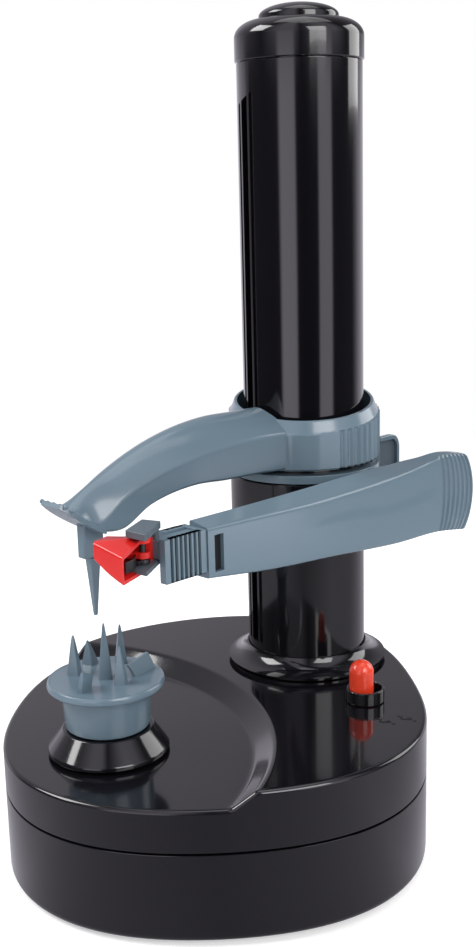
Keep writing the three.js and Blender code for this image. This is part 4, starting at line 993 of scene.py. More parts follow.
@dataclass
class Turntable:
    """The hub cone and the spiked cup on it, round the turntable's own axis."""

    hub_low: float = 46.6
    hub_top: float = 59.0
    stub: float = 4.8
    shaft_hole: float = 3.1
    plate: float = 71.2
    cup: tuple[Pair, ...] = (
        (6.3, 59.3), (12.5, 59.3), (12.5, 54.9), (13.9, 54.9), (14.2, 56.4), (15.0, 68.5),
        (18.8, 68.5), (19.5, 69.2), (19.5, 70.6), (19.0, 71.4), (18.2, 71.2), (0, 71.1),
        (0, 64.3), (6.3, 64.3))
    cup_rounds: tuple[float, ...] = (.1, .2, .3, .7, .9, .5, .5, .5, .6, .3, .3, 0, 0, .2)
    spikes: tuple[tuple[Pair, float, float, Pair, float], ...] = (
        ((0, 0), 18.8, 2.6, (0, 0), 50), ((-10.4, -4.9), 13.4, 2.3, (0, 0), 30),
        ((-14.2, 4.6), 7.6, 2.6, (-1.5, 0.4), 20), ((-6.6, 12.0), 13.6, 2.2, (0, 0), 60),
        ((7.6, 0.2), 12.6, 2.3, (0, 0), 40))
    fins: tuple[tuple[tuple[Pair, Pair], Pair, Pair], ...] = (
        (((6.2, 7.2), (5.0, 16.8)), (3.8, 5.4), (-1.6, -1.6)),
        (((4.6, -14.6), (2.1, -8.7)), (7.2, 4.4), (0.9, 0.9)))
    fin_half: float = 0.85

    def spike(self, foot: Pair, height: float, girth: float, lean: Pair, turn: float) -> Skin:
        """A four-sided spike with slightly bowed sides: girth (1 - t)^0.85 and a blunt tip.

        Args:
            foot: where it stands on the plate.
            height: how tall it is.
            girth: half its width at the foot.
            lean: how far its tip stands off from its foot.
            turn: its turn about Z, in degrees.

        Returns:
            The closed skin.
        """
        t = np.linspace(0.0, 1.0, 14)[:, None]
        width = girth * (1 - t) ** 0.85 + 0.3
        square = fillet([(1, 1), (-1, 1), (-1, -1), (1, -1)], 0.22, 3, closed=True) * 0.8
        z = self.plate - 0.8 + (height + 0.8) * t
        rings = np.stack([square[None, :, 0] * width, square[None, :, 1] * width,
                          z + 0.0 * square[None, :, 0]], axis=-1)
        skin = loft(rings).moved(degrees=turn)
        share = (skin.points[:, 2] - self.plate) / height
        skin.points[:, 0] += foot[0] + share * lean[0]
        skin.points[:, 1] += foot[1] + share * lean[1]
        return skin.moved(y=TABLE_AXIS)

    def fin(self, foot: tuple[Pair, Pair], heights: Pair, lean: Pair) -> Skin:
        """An upright leaf between two points of the plate that thins towards its top.

        Args:
            foot: the two points.
            heights: its height over each of them.
            lean: how far its top stands off from its foot.

        Returns:
            The closed skin.
        """
        a, b = np.array(foot)
        way = (b - a) / np.linalg.norm(b - a)
        side = np.array([-way[1], way[0]]) * self.fin_half
        rise = [heights[0], heights[1], heights[1], heights[0]]
        rings = []
        for share, narrow in ((-0.15, 1.0), (0.5, 0.85), (1.0, 0.55)):
            thin = side * narrow
            rings.append([[*(corner + np.array(lean) * max(share, 0)), self.plate + share * up]
                          for corner, up in zip([a - thin, b - thin, b + thin, a + thin], rise)])
        return loft(np.array(rings)).moved(y=TABLE_AXIS)

    def build(self, shop: Workshop) -> None:
        """The hub and the cup.

        Args:
            shop: where the pieces are made.
        """
        low, top = self.hub_low, self.hub_top
        neck, end = top - 4.4, top + self.stub
        hub = fillet([(0, low), (20.3, low), (20.3, low + 1.3), (15.1, neck), (12.2, neck),
                      (11.9, top), (6, top), (6, end), (0, end)],
                     [0, .3, .5, .3, .2, .3, .2, .3, 0], 5)
        hole = disc(self.shaft_hole, low - 1, top + 6, 0.0).moved(y=TABLE_AXIS)
        shop.add("hub_cone", revolve(hub, 128).moved(y=TABLE_AXIS), GLOSS_BLACK, Body.TURNTABLE,
                 "turntable_hub", steps=[(Solver.CUT, [hole])])
        cup = fillet(self.cup, self.cup_rounds, 6, closed=True)
        cup = revolve(np.concatenate([cup, cup[:1]]), 128).moved(y=TABLE_AXIS)
        prongs = [self.spike(*row) for row in self.spikes] + [self.fin(*row) for row in self.fins]
        shop.add("spiked_cup", cup, BLUE_GREY, Body.TURNTABLE, "food_holder", crease=24,
                 steps=[(Solver.ADD, prongs)])


@dataclass
class Tower:
    """The slotted tube, its flared foot, the cap and the button on top."""

    bore: float = 19.9
    bottom: float = 43.5
    top: float = 270.2
    grooves: tuple[Triple, ...] = ((0, 4.2, 6.2), (-4.2, 1.9, 0.9), (4.2, 1.9, 0.9))
    groove_low: float = 61.2
    groove_high: float = 258.2
    groove_slope: float = 0.388
    cap_radius: float = 22.66
    cap_bore: float = 17.4
    cap_opening: float = 14.24
    button_radius: float = 13.94
    flange_radius: float = 15.5

    def groove(self, middle: float, width: float, depth: float) -> Skin:
        """A long cutter along the tower with a slanted top, turned to the slot's side.

        Args:
            middle: its middle, to the side of the slot's own.
            width: its width.
            depth: how deep it goes into the tube.

        Returns:
            The closed skin.
        """
        left, right = middle - width / 2, middle + width / 2
        low, high, slope = self.groove_low, self.groove_high, self.groove_slope
        outline = [(left, low), (right, low), (right, high + slope * right),
                   (left, high + slope * left)]
        skin = slab(fillet(outline, 0.5, 4, closed=True), TOWER_RADIUS - depth, TOWER_RADIUS + 4,
                    0.0)
        return skin.upright().moved(degrees=SLOT_DEGREES)

    def build(self, shop: Workshop) -> None:
        """The tube, the foot, the cap and the button.

        Args:
            shop: where the pieces are made.
        """
        pole = tube(self.bore, TOWER_RADIUS, self.bottom, self.top, 0.25, 160)
        shop.add("tower_pole", pole, GLOSS_BLACK, Body.HOUSING, "tower_tube", crease=28,
                 steps=[(Solver.CUT, [self.groove(*row) for row in self.grooves])])
        flare = arc((31.2, 59.2), (8.6, 6.2), (190, 262), 14)
        foot = np.concatenate([[(22.4, SEAT), (28.3, SEAT), (28.5, SEAT + 0.2), (28.5, SEAT + 1.2)],
                               flare[::-1], [(22.55, 58.1), (22.4, 58.1), (22.4, SEAT)]])
        shop.add("tower_flare", revolve(foot, 160), GLOSS_BLACK, Body.HOUSING, "tower_foot")
        self.build_cap(shop)

    def build_cap(self, shop: Workshop) -> None:
        """The cap, turned from one profile, and the domed button held under its shoulder.

        Args:
            shop: where the pieces are made.
        """
        low, turn, radius = self.top + 0.3, self.top + 8.2, self.cap_radius
        bore, hole = self.cap_bore, self.cap_opening
        shoulder = arc((hole, turn), (radius - hole, 6.0), (0, 86), 16)
        inner = arc((hole, turn), (radius - hole - 2, 4.0), (90, 0), 12)
        cap = np.concatenate([[(bore, 264.2), (19.6, 264.2), (19.6, low), (radius - 0.3, low),
                               (radius, low + 0.3)], shoulder, [(hole, turn + 5.6)], inner,
                              [(radius - 2, low + 2), (bore, low + 2), (bore, 264.2)]])
        shop.add("tower_lid", revolve(cap, 160), GLOSS_BLACK, Body.HOUSING, "tower_cap")
        base, flange = turn + 2.2 - 0.3, self.flange_radius
        dome = arc((0, turn + 7.2), (self.button_radius, 4.4), (0, 90), 16)
        dome[-1, 0] = 0.0
        button = np.concatenate([[(0, base - 2.2), (2.4, base - 2.2), (2.4, base), (flange, base),
                                  (flange, base + 1.8), (self.button_radius, base + 1.8)], dome])
        shop.add("start_button", revolve(button, 128), GLOSS_BLACK, Body.BUTTON, "top_button")


@dataclass
class PotatoArm:
    """The upper arm: a fluted collar, an arched beam, a thumb rest and the top spike."""

    low: float = 130.0
    collar_radius: float = 28.1
    bore: float = 24.7
    rim_middle: float = 151.5
    rim_rise: float = 4.35
    rim_steepest: float = 137.0
    flute_stop: float = 4.3
    flute_depth: float = 1.1
    lip: tuple[Pair, ...] = ((27.35, 3.75), (27.2, 3.4), (26.75, 2.6), (25.9, 0.5),
                             (25.7, 0.15), (25.4, 0.0))
    flutes: int = 35
    first_flute: float = -20.7
    facets: tuple[float, ...] = (-57.6, -38.0)
    facet_step: float = 0.9

    stations: tuple[float, ...] = (-21.2, -36.0, -50.9, -65.7, -82.7, -95.4, -104.0, -110.0, -113.2)
    crowns: tuple[float, ...] = (151.6, 151.8, 152.0, 150.2, 145.6, 140.3, 136.0, 133.0, 132.1)
    ridges: tuple[float, ...] = (143.4, 143.8, 143.1, 141.4, 137.1, 131.8, 126.2, 129.4, 131.3)
    lows: tuple[float, ...] = (130.4, 131.1, 131.4, 132.0, 128.7, 122.6, 124.2, 128.6, 131.0)
    halves: tuple[float, ...] = (14.0, 13.0, 12.0, 11.1, 9.5, 8.5, 7.3, 6.2, 4.6)

    thumb: tuple[Pair, ...] = ((-100.5, 122.9), (-108.3, 127.2), (-116.2, 133.7))
    thumb_half: float = 7.5
    thumb_thin: float = 0.8
    bump: float = 0.75
    bump_columns: tuple[float, ...] = (-6.2, -3.1, 0.0, 3.1, 6.2)
    spike_middle: float = -101.0

    def collar_outline(self) -> Array:
        """Hollow flutes round the back and right, flat facets towards the front.

        A flute's radius is R - depth |sin|, so its ridges are sharp and its hollows round.

        Returns:
            The closed outline, as an array (n, 2).
        """
        start = math.radians(self.first_flute)
        sweep = TURN / 2 - 2 * start
        t = np.linspace(0.0, 1.0, self.flutes * 12 + 1)
        radius = self.collar_radius - self.flute_depth * np.abs(np.sin(t * self.flutes * TURN / 2))
        angle = start + sweep * t
        fluted = np.stack([radius * np.cos(angle), radius * np.sin(angle)], axis=-1)
        turns = [-180 - f for f in self.facets[::-1]] + [-105, -90, -75, *self.facets]
        flat = np.radians(np.array(turns))
        facets = np.stack([np.cos(flat), np.sin(flat)], axis=-1) * self.collar_radius
        facets = fillet(np.concatenate([fluted[-1:], facets, fluted[:1]]), 1.2, 4)
        run = np.concatenate([[0.0], np.cumsum(np.linalg.norm(np.diff(facets, axis=0), axis=1))])
        steps = np.arange(0.0, run[-1], self.facet_step)
        at = np.unique(np.concatenate([run, steps]).round(3))[1:-1]
        facets = np.stack([np.interp(at, run, facets[:, axis]) for axis in (0, 1)], axis=-1)
        return np.concatenate([fluted, facets])

    def collar_skin(self) -> Skin:
        """The fluted outline raised from its foot, then a lip that leans in to a slanted rim.

        The rim's height is middle + rise cos(azimuth - steepest), written in x and y.

        Returns:
            The closed skin.
        """
        outline = self.collar_outline()
        edge = np.array([0.0, 0.35, 0.7])
        fluted = np.concatenate([inset(outline, 0.7 - edge), inset(outline, edge[:2] * 0.8)])
        round_way = outline / np.linalg.norm(outline, axis=1, keepdims=True)
        lip = np.array(self.lip)
        rings = np.concatenate([fluted, lip[:, 0, None, None] * round_way[None]])
        steepest = math.radians(self.rim_steepest)
        uphill = np.array([math.cos(steepest), math.sin(steepest)])
        share = rings @ uphill / self.collar_radius
        below = np.concatenate([0 * edge, self.flute_stop - edge[:2], lip[:, 1]])
        top = self.rim_middle + self.rim_rise * share - below[:, None]
        low = np.broadcast_to(self.low + edge[:, None], top[:3].shape)
        z = np.concatenate([low, top[3:]])
        return loft(np.concatenate([rings, z[..., None]], axis=-1))

    def beam_skin(self) -> Skin:
        """Sections along -Y: a flat foot, upright sides to a rounded ridge, an arched back between.

        The back is ridge + (crown - ridge) (1 - |share across|^1.75), and each ridge is a bent
        curve from the side's top to the place where the back begins.

        Returns:
            The closed skin.
        """
        y = np.linspace(self.stations[0], self.stations[-1], 110)
        order = slice(None, None, -1)
        curves = [spline(self.stations[order], values[order], y[order])[order]
                  for values in (self.crowns, self.ridges, self.lows, self.halves)]
        crown, ridge, low, half = [curve[:, None] for curve in curves]
        edge, turn = 0.94, 1.1
        across = np.linspace(edge, -edge, 31)[None]
        arch_z = ridge + (crown - ridge) * (1 - np.abs(across) ** 1.75)
        s = np.linspace(0.0, 0.85, 5)[None]
        bend_x = bent(half, half, half * edge, s)
        bend_z = bent(ridge - turn, ridge, arch_z[:, :1], s)
        foot = np.array([-1.0, -0.93, 0.93, 1.0])[None]
        foot_x = half * foot * np.array([1.0, 0.99, 0.99, 1.0])[None]
        foot_z = low + np.array([0.8, 0.0, 0.0, 0.8])[None]
        x = np.concatenate([foot_x, bend_x, half * across, -bend_x[:, ::-1]], axis=1)
        z = np.concatenate([foot_z, bend_z, arch_z, bend_z[:, ::-1]], axis=1)
        return loft(np.stack([x, np.broadcast_to(y[:, None], x.shape), z], axis=-1))

    def thumb_skin(self) -> Skin:
        """A leaf along a bent curve, its half width h sqrt(1 - 0.6 t^4).

        Returns:
            The closed skin.
        """
        t = np.linspace(0.0, 1.0, 36)[:, None]
        start, bend, tip = np.array(self.thumb)[:, None]
        path = bent(start, bend, tip, t)
        way = 2 * (1 - t) * (bend - start) + 2 * t * (tip - bend)
        way /= np.linalg.norm(way, axis=1, keepdims=True)
        normal = np.stack([way[:, 1], -way[:, 0]], axis=-1)
        half = self.thumb_half * np.sqrt(1 - 0.6 * t ** 4)
        section = fillet([(-1, -1), (1, -1), (1, 1), (-1, 1)], 0.12, 4, closed=True)
        off = self.thumb_thin * section[None, :, 1]
        return loft(np.stack([half * section[None, :, 0], path[:, :1] + off * normal[:, :1],
                              path[:, 1:] + off * normal[:, 1:]], axis=-1))

    def grip_bumps(self) -> list[Skin]:
        """Small round bumps in rows on the leaf's upper face.

        Returns:
            One skin for each bump.
        """
        path = bent(*np.array(self.thumb), np.linspace(0.3, 0.93, 6)[:, None])
        ball = arc((0, 0), (self.bump, self.bump), (-90, 90), 9)
        ball[[0, -1], 0] = 0.0
        return [revolve(ball, 14).moved(x, y, z + self.bump) for y, z in path
                for x in self.bump_columns]

    def build(self, shop: Workshop) -> None:
        """The arm in one piece, its bush and the spike.

        Args:
            shop: where the pieces are made.
        """
        block = brick((-2.0, 2.0), (-105.6, -97.5), (113.8, 125.0), 0.35, 0.9)
        joined = [self.beam_skin(), self.thumb_skin(), block, *self.grip_bumps()]
        shop.add("potato_arm_body", self.collar_skin(), BLUE_GREY, Body.POTATO_ARM, "upper_arm",
                 crease=24, steps=[(Solver.ADD, joined),
                                   (Solver.CUT, [disc(self.bore, 120, 165, 0.0, 160)])])
        t = np.linspace(0.0, 1.0, 12)[:, None]
        square = fillet([(1, 1), (-1, 1), (-1, -1), (1, -1)], 0.45, 4, closed=True)
        width = mixed(0.55, 2.0, t)
        x, y = width * square[None, :, 0], self.spike_middle + width * square[None, :, 1]
        spike = loft(np.stack([x, y, mixed(93.8, 113.5, t) + 0 * x], axis=-1))
        shop.add("top_spike", spike, BLUE_GREY, Body.POTATO_ARM, "upper_spike")
        liner = tube(SLIDE_BORE, self.bore - 0.3, self.low + 0.3, 145.0, 0.3)
        shop.add("collar_liner", liner, INNER_BLACK, Body.POTATO_ARM, "collar_bush")


@dataclass
class Carriage:
    """The black sleeve on the tower and the blue-grey ring plate with its finger tab."""

    ring_radius: float = 27.9
    ring_top: float = 128.3
    sleeve_radius: float = 27.6
    sleeve_top: float = 125.0
    sleeve_low: float = 103.0
    lug: tuple[Pair, ...] = ((20, 5), (31.8, 5), (34.8, 5), (34.8, 11), (31.8, 11), (20, 11))
    lug_z: Pair = (112.1, 124.1)
    nut_y: Pair = (-2.1, 2.1)
    nut_z: Pair = (105.7, 120.3)
    tab: tuple[Pair, ...] = ((24, 108.3), (35.5, 108.3), (38.9, 112), (38.9, 131), (36.4, 134.3),
                             (27.2, 134.3), (27, 128.3), (24, 128.3))
    panel: tuple[Pair, ...] = ((26.6, 110), (34.8, 110), (37.3, 113), (37.3, 130.2),
                               (35.6, 132.6), (26.6, 132.6))
    tab_x: Pair = (12.0, 14.4)
    panel_floor: float = 12.9

    def build(self, shop: Workshop) -> None:
        """The sleeve with its hinge lug, the ring with its tab, and the tab's dark panel.

        Args:
            shop: where the pieces are made.
        """
        lug = slab(fillet(self.lug, [0, 0, 3, 3, 0, 0], 10, closed=True), *self.lug_z, 0.3)
        nut = brick((0, 24.6), self.nut_y, self.nut_z, 0.0, 0.0).moved(degrees=SLOT_DEGREES)
        pin_hole = disc(1.5, 95, 130, 0.0, 32).moved(*HINGE)
        sleeve = disc(self.sleeve_radius, self.sleeve_low, self.sleeve_top, 0.5, 160)
        bore = disc(SLIDE_BORE, 95, 130, 0.0, 160)
        shop.add("carriage_body", sleeve, GLOSS_BLACK, Body.CARRIAGE, "carriage_sleeve",
                 steps=[(Solver.ADD, [lug]), (Solver.CUT, [bore, pin_hole, nut])])
        tab = fillet(self.tab, [.4, 2, 2, 2.5, 2.5, .5, .3, .4], 6, closed=True)
        panel = fillet(self.panel, [.3, 1.2, 1.2, 1.2, 1.2, .3], 6, closed=True)
        cutters = [slab(panel, self.panel_floor, 18, 0.0).upright(),
                   disc(SLIDE_BORE, 100, 140, 0.0, 160),
                   disc(self.ring_radius, 100, self.sleeve_top, 0.0, 160)]
        shop.add("ring_plate", disc(self.ring_radius, self.ring_top - 3, self.ring_top, 0.35, 160),
                 BLUE_GREY, Body.CARRIAGE, "peel_carriage",
                 steps=[(Solver.ADD, [slab(tab, *self.tab_x, 0.4).upright()]),
                        (Solver.CUT, cutters)])
        dark = slab(inset(panel, np.array([0.15]))[0], self.panel_floor - 0.2,
                    self.panel_floor + 0.2, 0.05)
        shop.add("tab_panel", dark.upright(), DARK_GREY, Body.CARRIAGE)


@dataclass
class PeelArm:
    """The long swinging arm with its grip, drawn in the tower's frame."""

    inner: float = 28.6
    outer: float = 37.0
    front: float = -84.4
    grip_inner: float = 32.6
    tops: tuple[Pair, ...] = ((-84.4, 127.4), (-60, 127.5), (-29.8, 127.9), (5.2, 128.6),
                              (16.4, 128.3), (26.2, 128.9), (34, 129.9), (42, 129.2), (50, 127.6))
    shoulders: tuple[Pair, ...] = ((-84.4, 125.9), (-66, 125.3), (-22, 124.2), (-5.4, 124.6),
                                   (16, 126.0), (30, 127.6), (36, 128.3), (50, 126.9))
    lows: tuple[Pair, ...] = ((-84.4, 109.6), (-56, 106.0), (-25, 103.5), (10, 100.5),
                              (35, 99.6), (50, 97.4))
    end_bulge: float = 5.6
    rib_start: float = 33.4
    rib_pitch: float = 2.35
    socket: float = 118.35
    window_y: Pair = (-81.7, -77.8)
    window_z: Pair = (111.2, 123.2)

    def skin(self) -> Skin:
        """Rounded four-sided sections along Y, whose outer side is lower than the inner one.

        The last stations lean outwards by a parabola of the height, which gives the bulging end.
        The outer face sinks by a cosine wave at the grip's ribs, and by a soft step over its
        crease. Rings that shrink towards the end's middle close it with the same parabola.

        Returns:
            The closed skin.
        """
        y = np.unique(np.concatenate([np.linspace(self.front, 30, 90), np.linspace(30, 50, 130)]))
        top, shoulder, low = [spline(*zip(*values), y)
                              for values in (self.tops, self.shoulders, self.lows)]
        inner = mixed(self.inner, self.grip_inner, smooth(y, 18.0, 35.0))
        outer = np.full_like(y, self.outer)
        corners = np.stack([np.stack([inner, low], -1), np.stack([outer, low], -1),
                            np.stack([outer, shoulder], -1), np.stack([inner, top], -1)], axis=1)
        x, z = np.moveaxis(rounded(corners, 1.0, 6, 16), -1, 0)
        middle, half = ((top + low) / 2)[:, None], ((top - low) / 2)[:, None]
        share = np.clip((z - middle) / half, -1, 1)
        y = y[:, None]
        reach = smooth(y, 22, 50) * self.end_bulge * (1 - share ** 2) ** 0.8
        outside = np.clip((x - self.outer + 1.6) / 1.4, 0, 1)
        ribs = np.clip(0.5 - 0.9 * np.cos((y - self.rib_start) / self.rib_pitch * TURN), 0, 1)
        ribs = ribs * smooth(y, 33.3, 33.6) * (1 - smooth(y, 49.6, 49.9))
        crease = spline((-40, -22, 5, 35), (114.5, 115.4, 112.6, 114.2), y)
        step = smooth(z, crease, crease + 3.0) * smooth(y, -45, -20) * (1 - smooth(y, 28, 33))
        x = x - outside * (0.7 * ribs + 0.3 * step)
        rings = np.stack([x, y + reach + 0.0 * x, z], axis=-1)
        closing = np.linspace(1.0, 0.0, 9)[1:, None]
        x, z, share = (edge[-1] + (1 - closing) * (edge[-1].mean() - edge[-1])
                       for edge in (x, z, share))
        cap = np.stack([x, y[-1] + self.end_bulge * (1 - share ** 2) ** 0.8, z], axis=-1)
        return loft(np.concatenate([rings, cap]))

    def build(self, shop: Workshop) -> None:
        """The arm with its socket, window and hollow back, the window's backing and the hinge pin.

        Args:
            shop: where the pieces are made.
        """
        (y0, y1), (z0, z1) = self.window_y, self.window_z
        cutters = [
            brick((30.2, 35.4), (self.front - 4, -60.4), (self.socket - 6.75, self.socket + 6.25),
                  0.0, 0.0),
            brick((34.4, 41), self.window_y, self.window_z, 0.0, 0.3),
            brick((24.6, 35.4), (-4, 20), (105.8, 124.4), 0.0, 0.5),
            brick((24.6, 35.4), (-57.2, -11.2), (110, 123), 0.0, 1.5),
            disc(1.55, 80, 126.2, 0.0, 32).moved(*HINGE),
        ]
        shop.add("peeling_arm", self.skin(), BLUE_GREY, Body.SWING_ARM, "peel_arm", crease=26,
                 steps=[(Solver.CUT, cutters)])
        backing = brick((34.9, 35.3), (y0 - 0.5, y1 + 0.5), (z0 - 0.5, z1 + 0.5), 0.0, 0.3)
        shop.add("window_backing", backing, INNER_BLACK, Body.CARTRIDGE)
        pin = disc(1.4, 101.6, 126.0, 0.3, 32).moved(*HINGE)
        shop.add("arm_hinge_pin", pin, STEEL, Body.CARRIAGE, "arm_pivot_pin")


@dataclass
class Cutter:
    """The pull-out blade cartridge and the red guard that swivels in its yoke."""

    neck: float = 31.5
    front: float = -84.7
    middle: float = 118.75
    tab_half: float = 7.0
    tabs: tuple[tuple[str, int, float], ...] = (("outer", 1, -101.7), ("inner", -1, -95.4))
    tab_reach: Pair = (2.4, 5.0)
    groove_depth: float = 1.5
    groove_pitch: float = 1.9
    tab_plain: float = 1.8
    floor_reach: Pair = (3.3, 4.1)
    pin: Pair = (31.5, -106.2)
    pin_hole: float = 1.25
    yoke: tuple[Pair, ...] = ((30.6, -112.0), (39.0, -111.2), (30.6, -97.8), (24.4, -100.2))
    upper_plate: Pair = (127.85, 130.05)
    lower_plate: Pair = (117.2, 118.6)
    guard_foot: float = 115.97
    guard_degrees: float = 31.7

    def ribbed_tab(self, side: int, start: float) -> Skin:
        """A finger tab: an outline with flat ribs on its outer side, raised along Z.

        The outer side sinks by depth (1 - clip(0.4 + 2.2 cos a)), one turn of a to each groove.

        Args:
            side: 1 away from the tower, -1 towards it.
            start: y of the tab's tip.

        Returns:
            The closed skin.
        """
        length = self.front - start - self.tab_plain
        grooves = round(length / self.groove_pitch)
        y = np.linspace(start, self.front, grooves * 16 + 1)
        t = np.clip((y - start - self.tab_plain) / length, 0.0, 1.0)
        wave = np.clip(0.4 + 2.2 * np.cos(t * grooves * TURN), 0, 1)
        outer = self.neck + side * (self.tab_reach[1] - self.groove_depth * (1 - wave))
        inner = self.neck + side * self.tab_reach[0]
        outline = np.concatenate([np.stack([outer, y], -1), [[inner, y[-1]], [inner, y[0]]]])
        return slab(outline, self.middle - self.tab_half, self.middle + self.tab_half, 0.3, 3)

    def build(self, shop: Workshop) -> None:
        """The cartridge with its ribbed tabs and their dark groove floors, the yoke, the head.

        Args:
            shop: where the pieces are made.
        """
        neck, middle, half = self.neck, self.middle, self.tab_half
        tongue = brick((30.5, 34.8), (-86.7, -60.7), (112.5, 124.2), 0.3, 0.4)
        joined = [brick((neck - 5, neck + 5), (-86.7, self.front), (middle - half, middle + half),
                        0.3, 0.5),
                  *[self.ribbed_tab(side, start) for _, side, start in self.tabs],
                  brick((neck - 2.1, neck + 2.1), (-101.4, self.front),
                        (middle + 0.2, middle + 6.2), 0.3, 0.3)]
        shop.add("cutter_cartridge", tongue, BLUE_GREY, Body.CARTRIDGE, "blade_cartridge",
                 crease=26, steps=[(Solver.ADD, joined)])
        for name, side, start in self.tabs:
            low, high = sorted(neck + side * reach for reach in self.floor_reach)
            floor = brick((low, high), (start + 1.9, self.front - 1.4),
                          (middle - 6.8, middle + 6.5), 0.0, 0.1)
            shop.add(f"{name}_groove_floor", floor, INNER_BLACK, Body.CARTRIDGE)
        outline = fillet(self.yoke, 0.6, 4, closed=True)
        web = brick((neck - 2.9, neck + 0.1), (-101.0, -99.4), (self.lower_plate[0], 129.9),
                    0.2, 0.3)
        hole = disc(self.pin_hole, 105, 129.2, 0.0, 32).moved(*self.pin)
        shop.add("cutter_yoke", slab(outline, *self.upper_plate, 0.25), DARK_GREY, Body.CARTRIDGE,
                 "blade_cartridge", crease=26,
                 steps=[(Solver.ADD, [web, slab(outline, *self.lower_plate, 0.2)]),
                        (Solver.CUT, [hole])])
        self.build_head(shop)

    def hood(self, share: Array, depth: float) -> Skin:
        """Five-sided sections of the hood between its narrow nose and its slanted mouth.

        They are drawn round the pin and moved to their place. Along the hood x is
        nose + share (length + slant across), with a slant that grows a little upwards.

        Args:
            share: array (n,) from 0 at the nose to 1 at the mouth.
            depth: how far the section lies within the outer one.

        Returns:
            The closed skin.
        """
        bow = share + 0.1 * np.sin(np.clip(share, 0, 1) * TURN / 2)
        tail, lead = mixed(-9.1, -14.35, share) + depth, mixed(3.65, 4.65, share) - depth
        low = mixed(5.8, 0.0, bow) + depth
        tail_top, ridge_top = mixed(11.2, 8.7, share) - depth, mixed(11.3, 11.4, share) - depth
        ridge = mixed(tail, lead, mixed(0.12, 0.8, share))
        corners = ((tail, low), (lead, low), (lead, ridge_top - 1.5), (ridge, ridge_top),
                   (tail, tail_top))
        sections = np.stack([np.stack(corner, -1) for corner in corners], axis=1)
        y, z = np.moveaxis(rounded(sections, 0.9, 5, 3), -1, 0)
        across = (y - tail[:, None]) / (lead - tail)[:, None]
        up = (z - low[:, None]) / (ridge_top - low)[:, None]
        x = -12.2 + share[:, None] * (10.5 + (3.3 + 0.2 * up) * across)
        return self.placed(loft(np.stack([x, y, z], axis=-1)))

    def placed(self, skin: Skin) -> Skin:
        """A skin drawn round the pin, turned as the guard stands and moved to the pin."""
        return skin.moved(*self.pin, self.guard_foot, self.guard_degrees)

    def blade_skin(self) -> Skin:
        """A thin strip beside the pin, bowed by half a sine wave.

        Returns:
            The closed skin.
        """
        t = np.linspace(0.0, 1.0, 24)
        bow, along = np.sin(t * TURN / 2) - 1.6, -2.6 - 9.2 * t
        front, back = (np.stack([bow + side * 0.3, along], axis=-1) for side in (1, -1))
        return self.placed(slab(np.concatenate([front, back[::-1]]), 2.9, 6.3, 0.1))

    def build_head(self, shop: Workshop) -> None:
        """A hood with two ears and a tongue on the pin, the bowed blade and the pin.

        Args:
            shop: where the pieces are made.
        """
        hole = self.placed(disc(self.pin_hole, -4, 14, 0.0, 32))
        ears = [disc(2.6, low, low + 1.6, 0.3, 32) for low in (0.0, 9.3)]
        tongue = [brick((-11.6, 0.0), (-2.0, 2.0), (4.5, 6.5), 0.4, 0.6),
                  disc(2.3, 4.5, 6.5, 0.3, 32)]
        shop.add("guard_hood", self.hood(np.linspace(0, 1, 16), 0.0), GUARD_RED, Body.BLADE_HEAD,
                 "blade_guard", crease=30,
                 steps=[(Solver.CUT, [self.hood(np.linspace(0.12, 1.14, 16), 1.1)]),
                        (Solver.ADD, [self.placed(skin) for skin in ears + tongue]),
                        (Solver.CUT, [hole])])
        boss = [brick((-1.9, 0), (-3.2, -1.0), (2.9, 4.2), 0.1, 0.2), disc(2.1, 2.9, 4.2, 0.1, 40)]
        shop.add("steel_blade", self.blade_skin(), BLADE_STEEL, Body.BLADE_HEAD, "peeling_blade",
                 steps=[(Solver.ADD, [self.placed(skin) for skin in boss]), (Solver.CUT, [hole])])
        pin = disc(1.05, 116.1, 129.0, 0.25, 32).moved(*self.pin)
        shop.add("guard_pin", pin, BLADE_STEEL, Body.CARTRIDGE, "blade_pin")


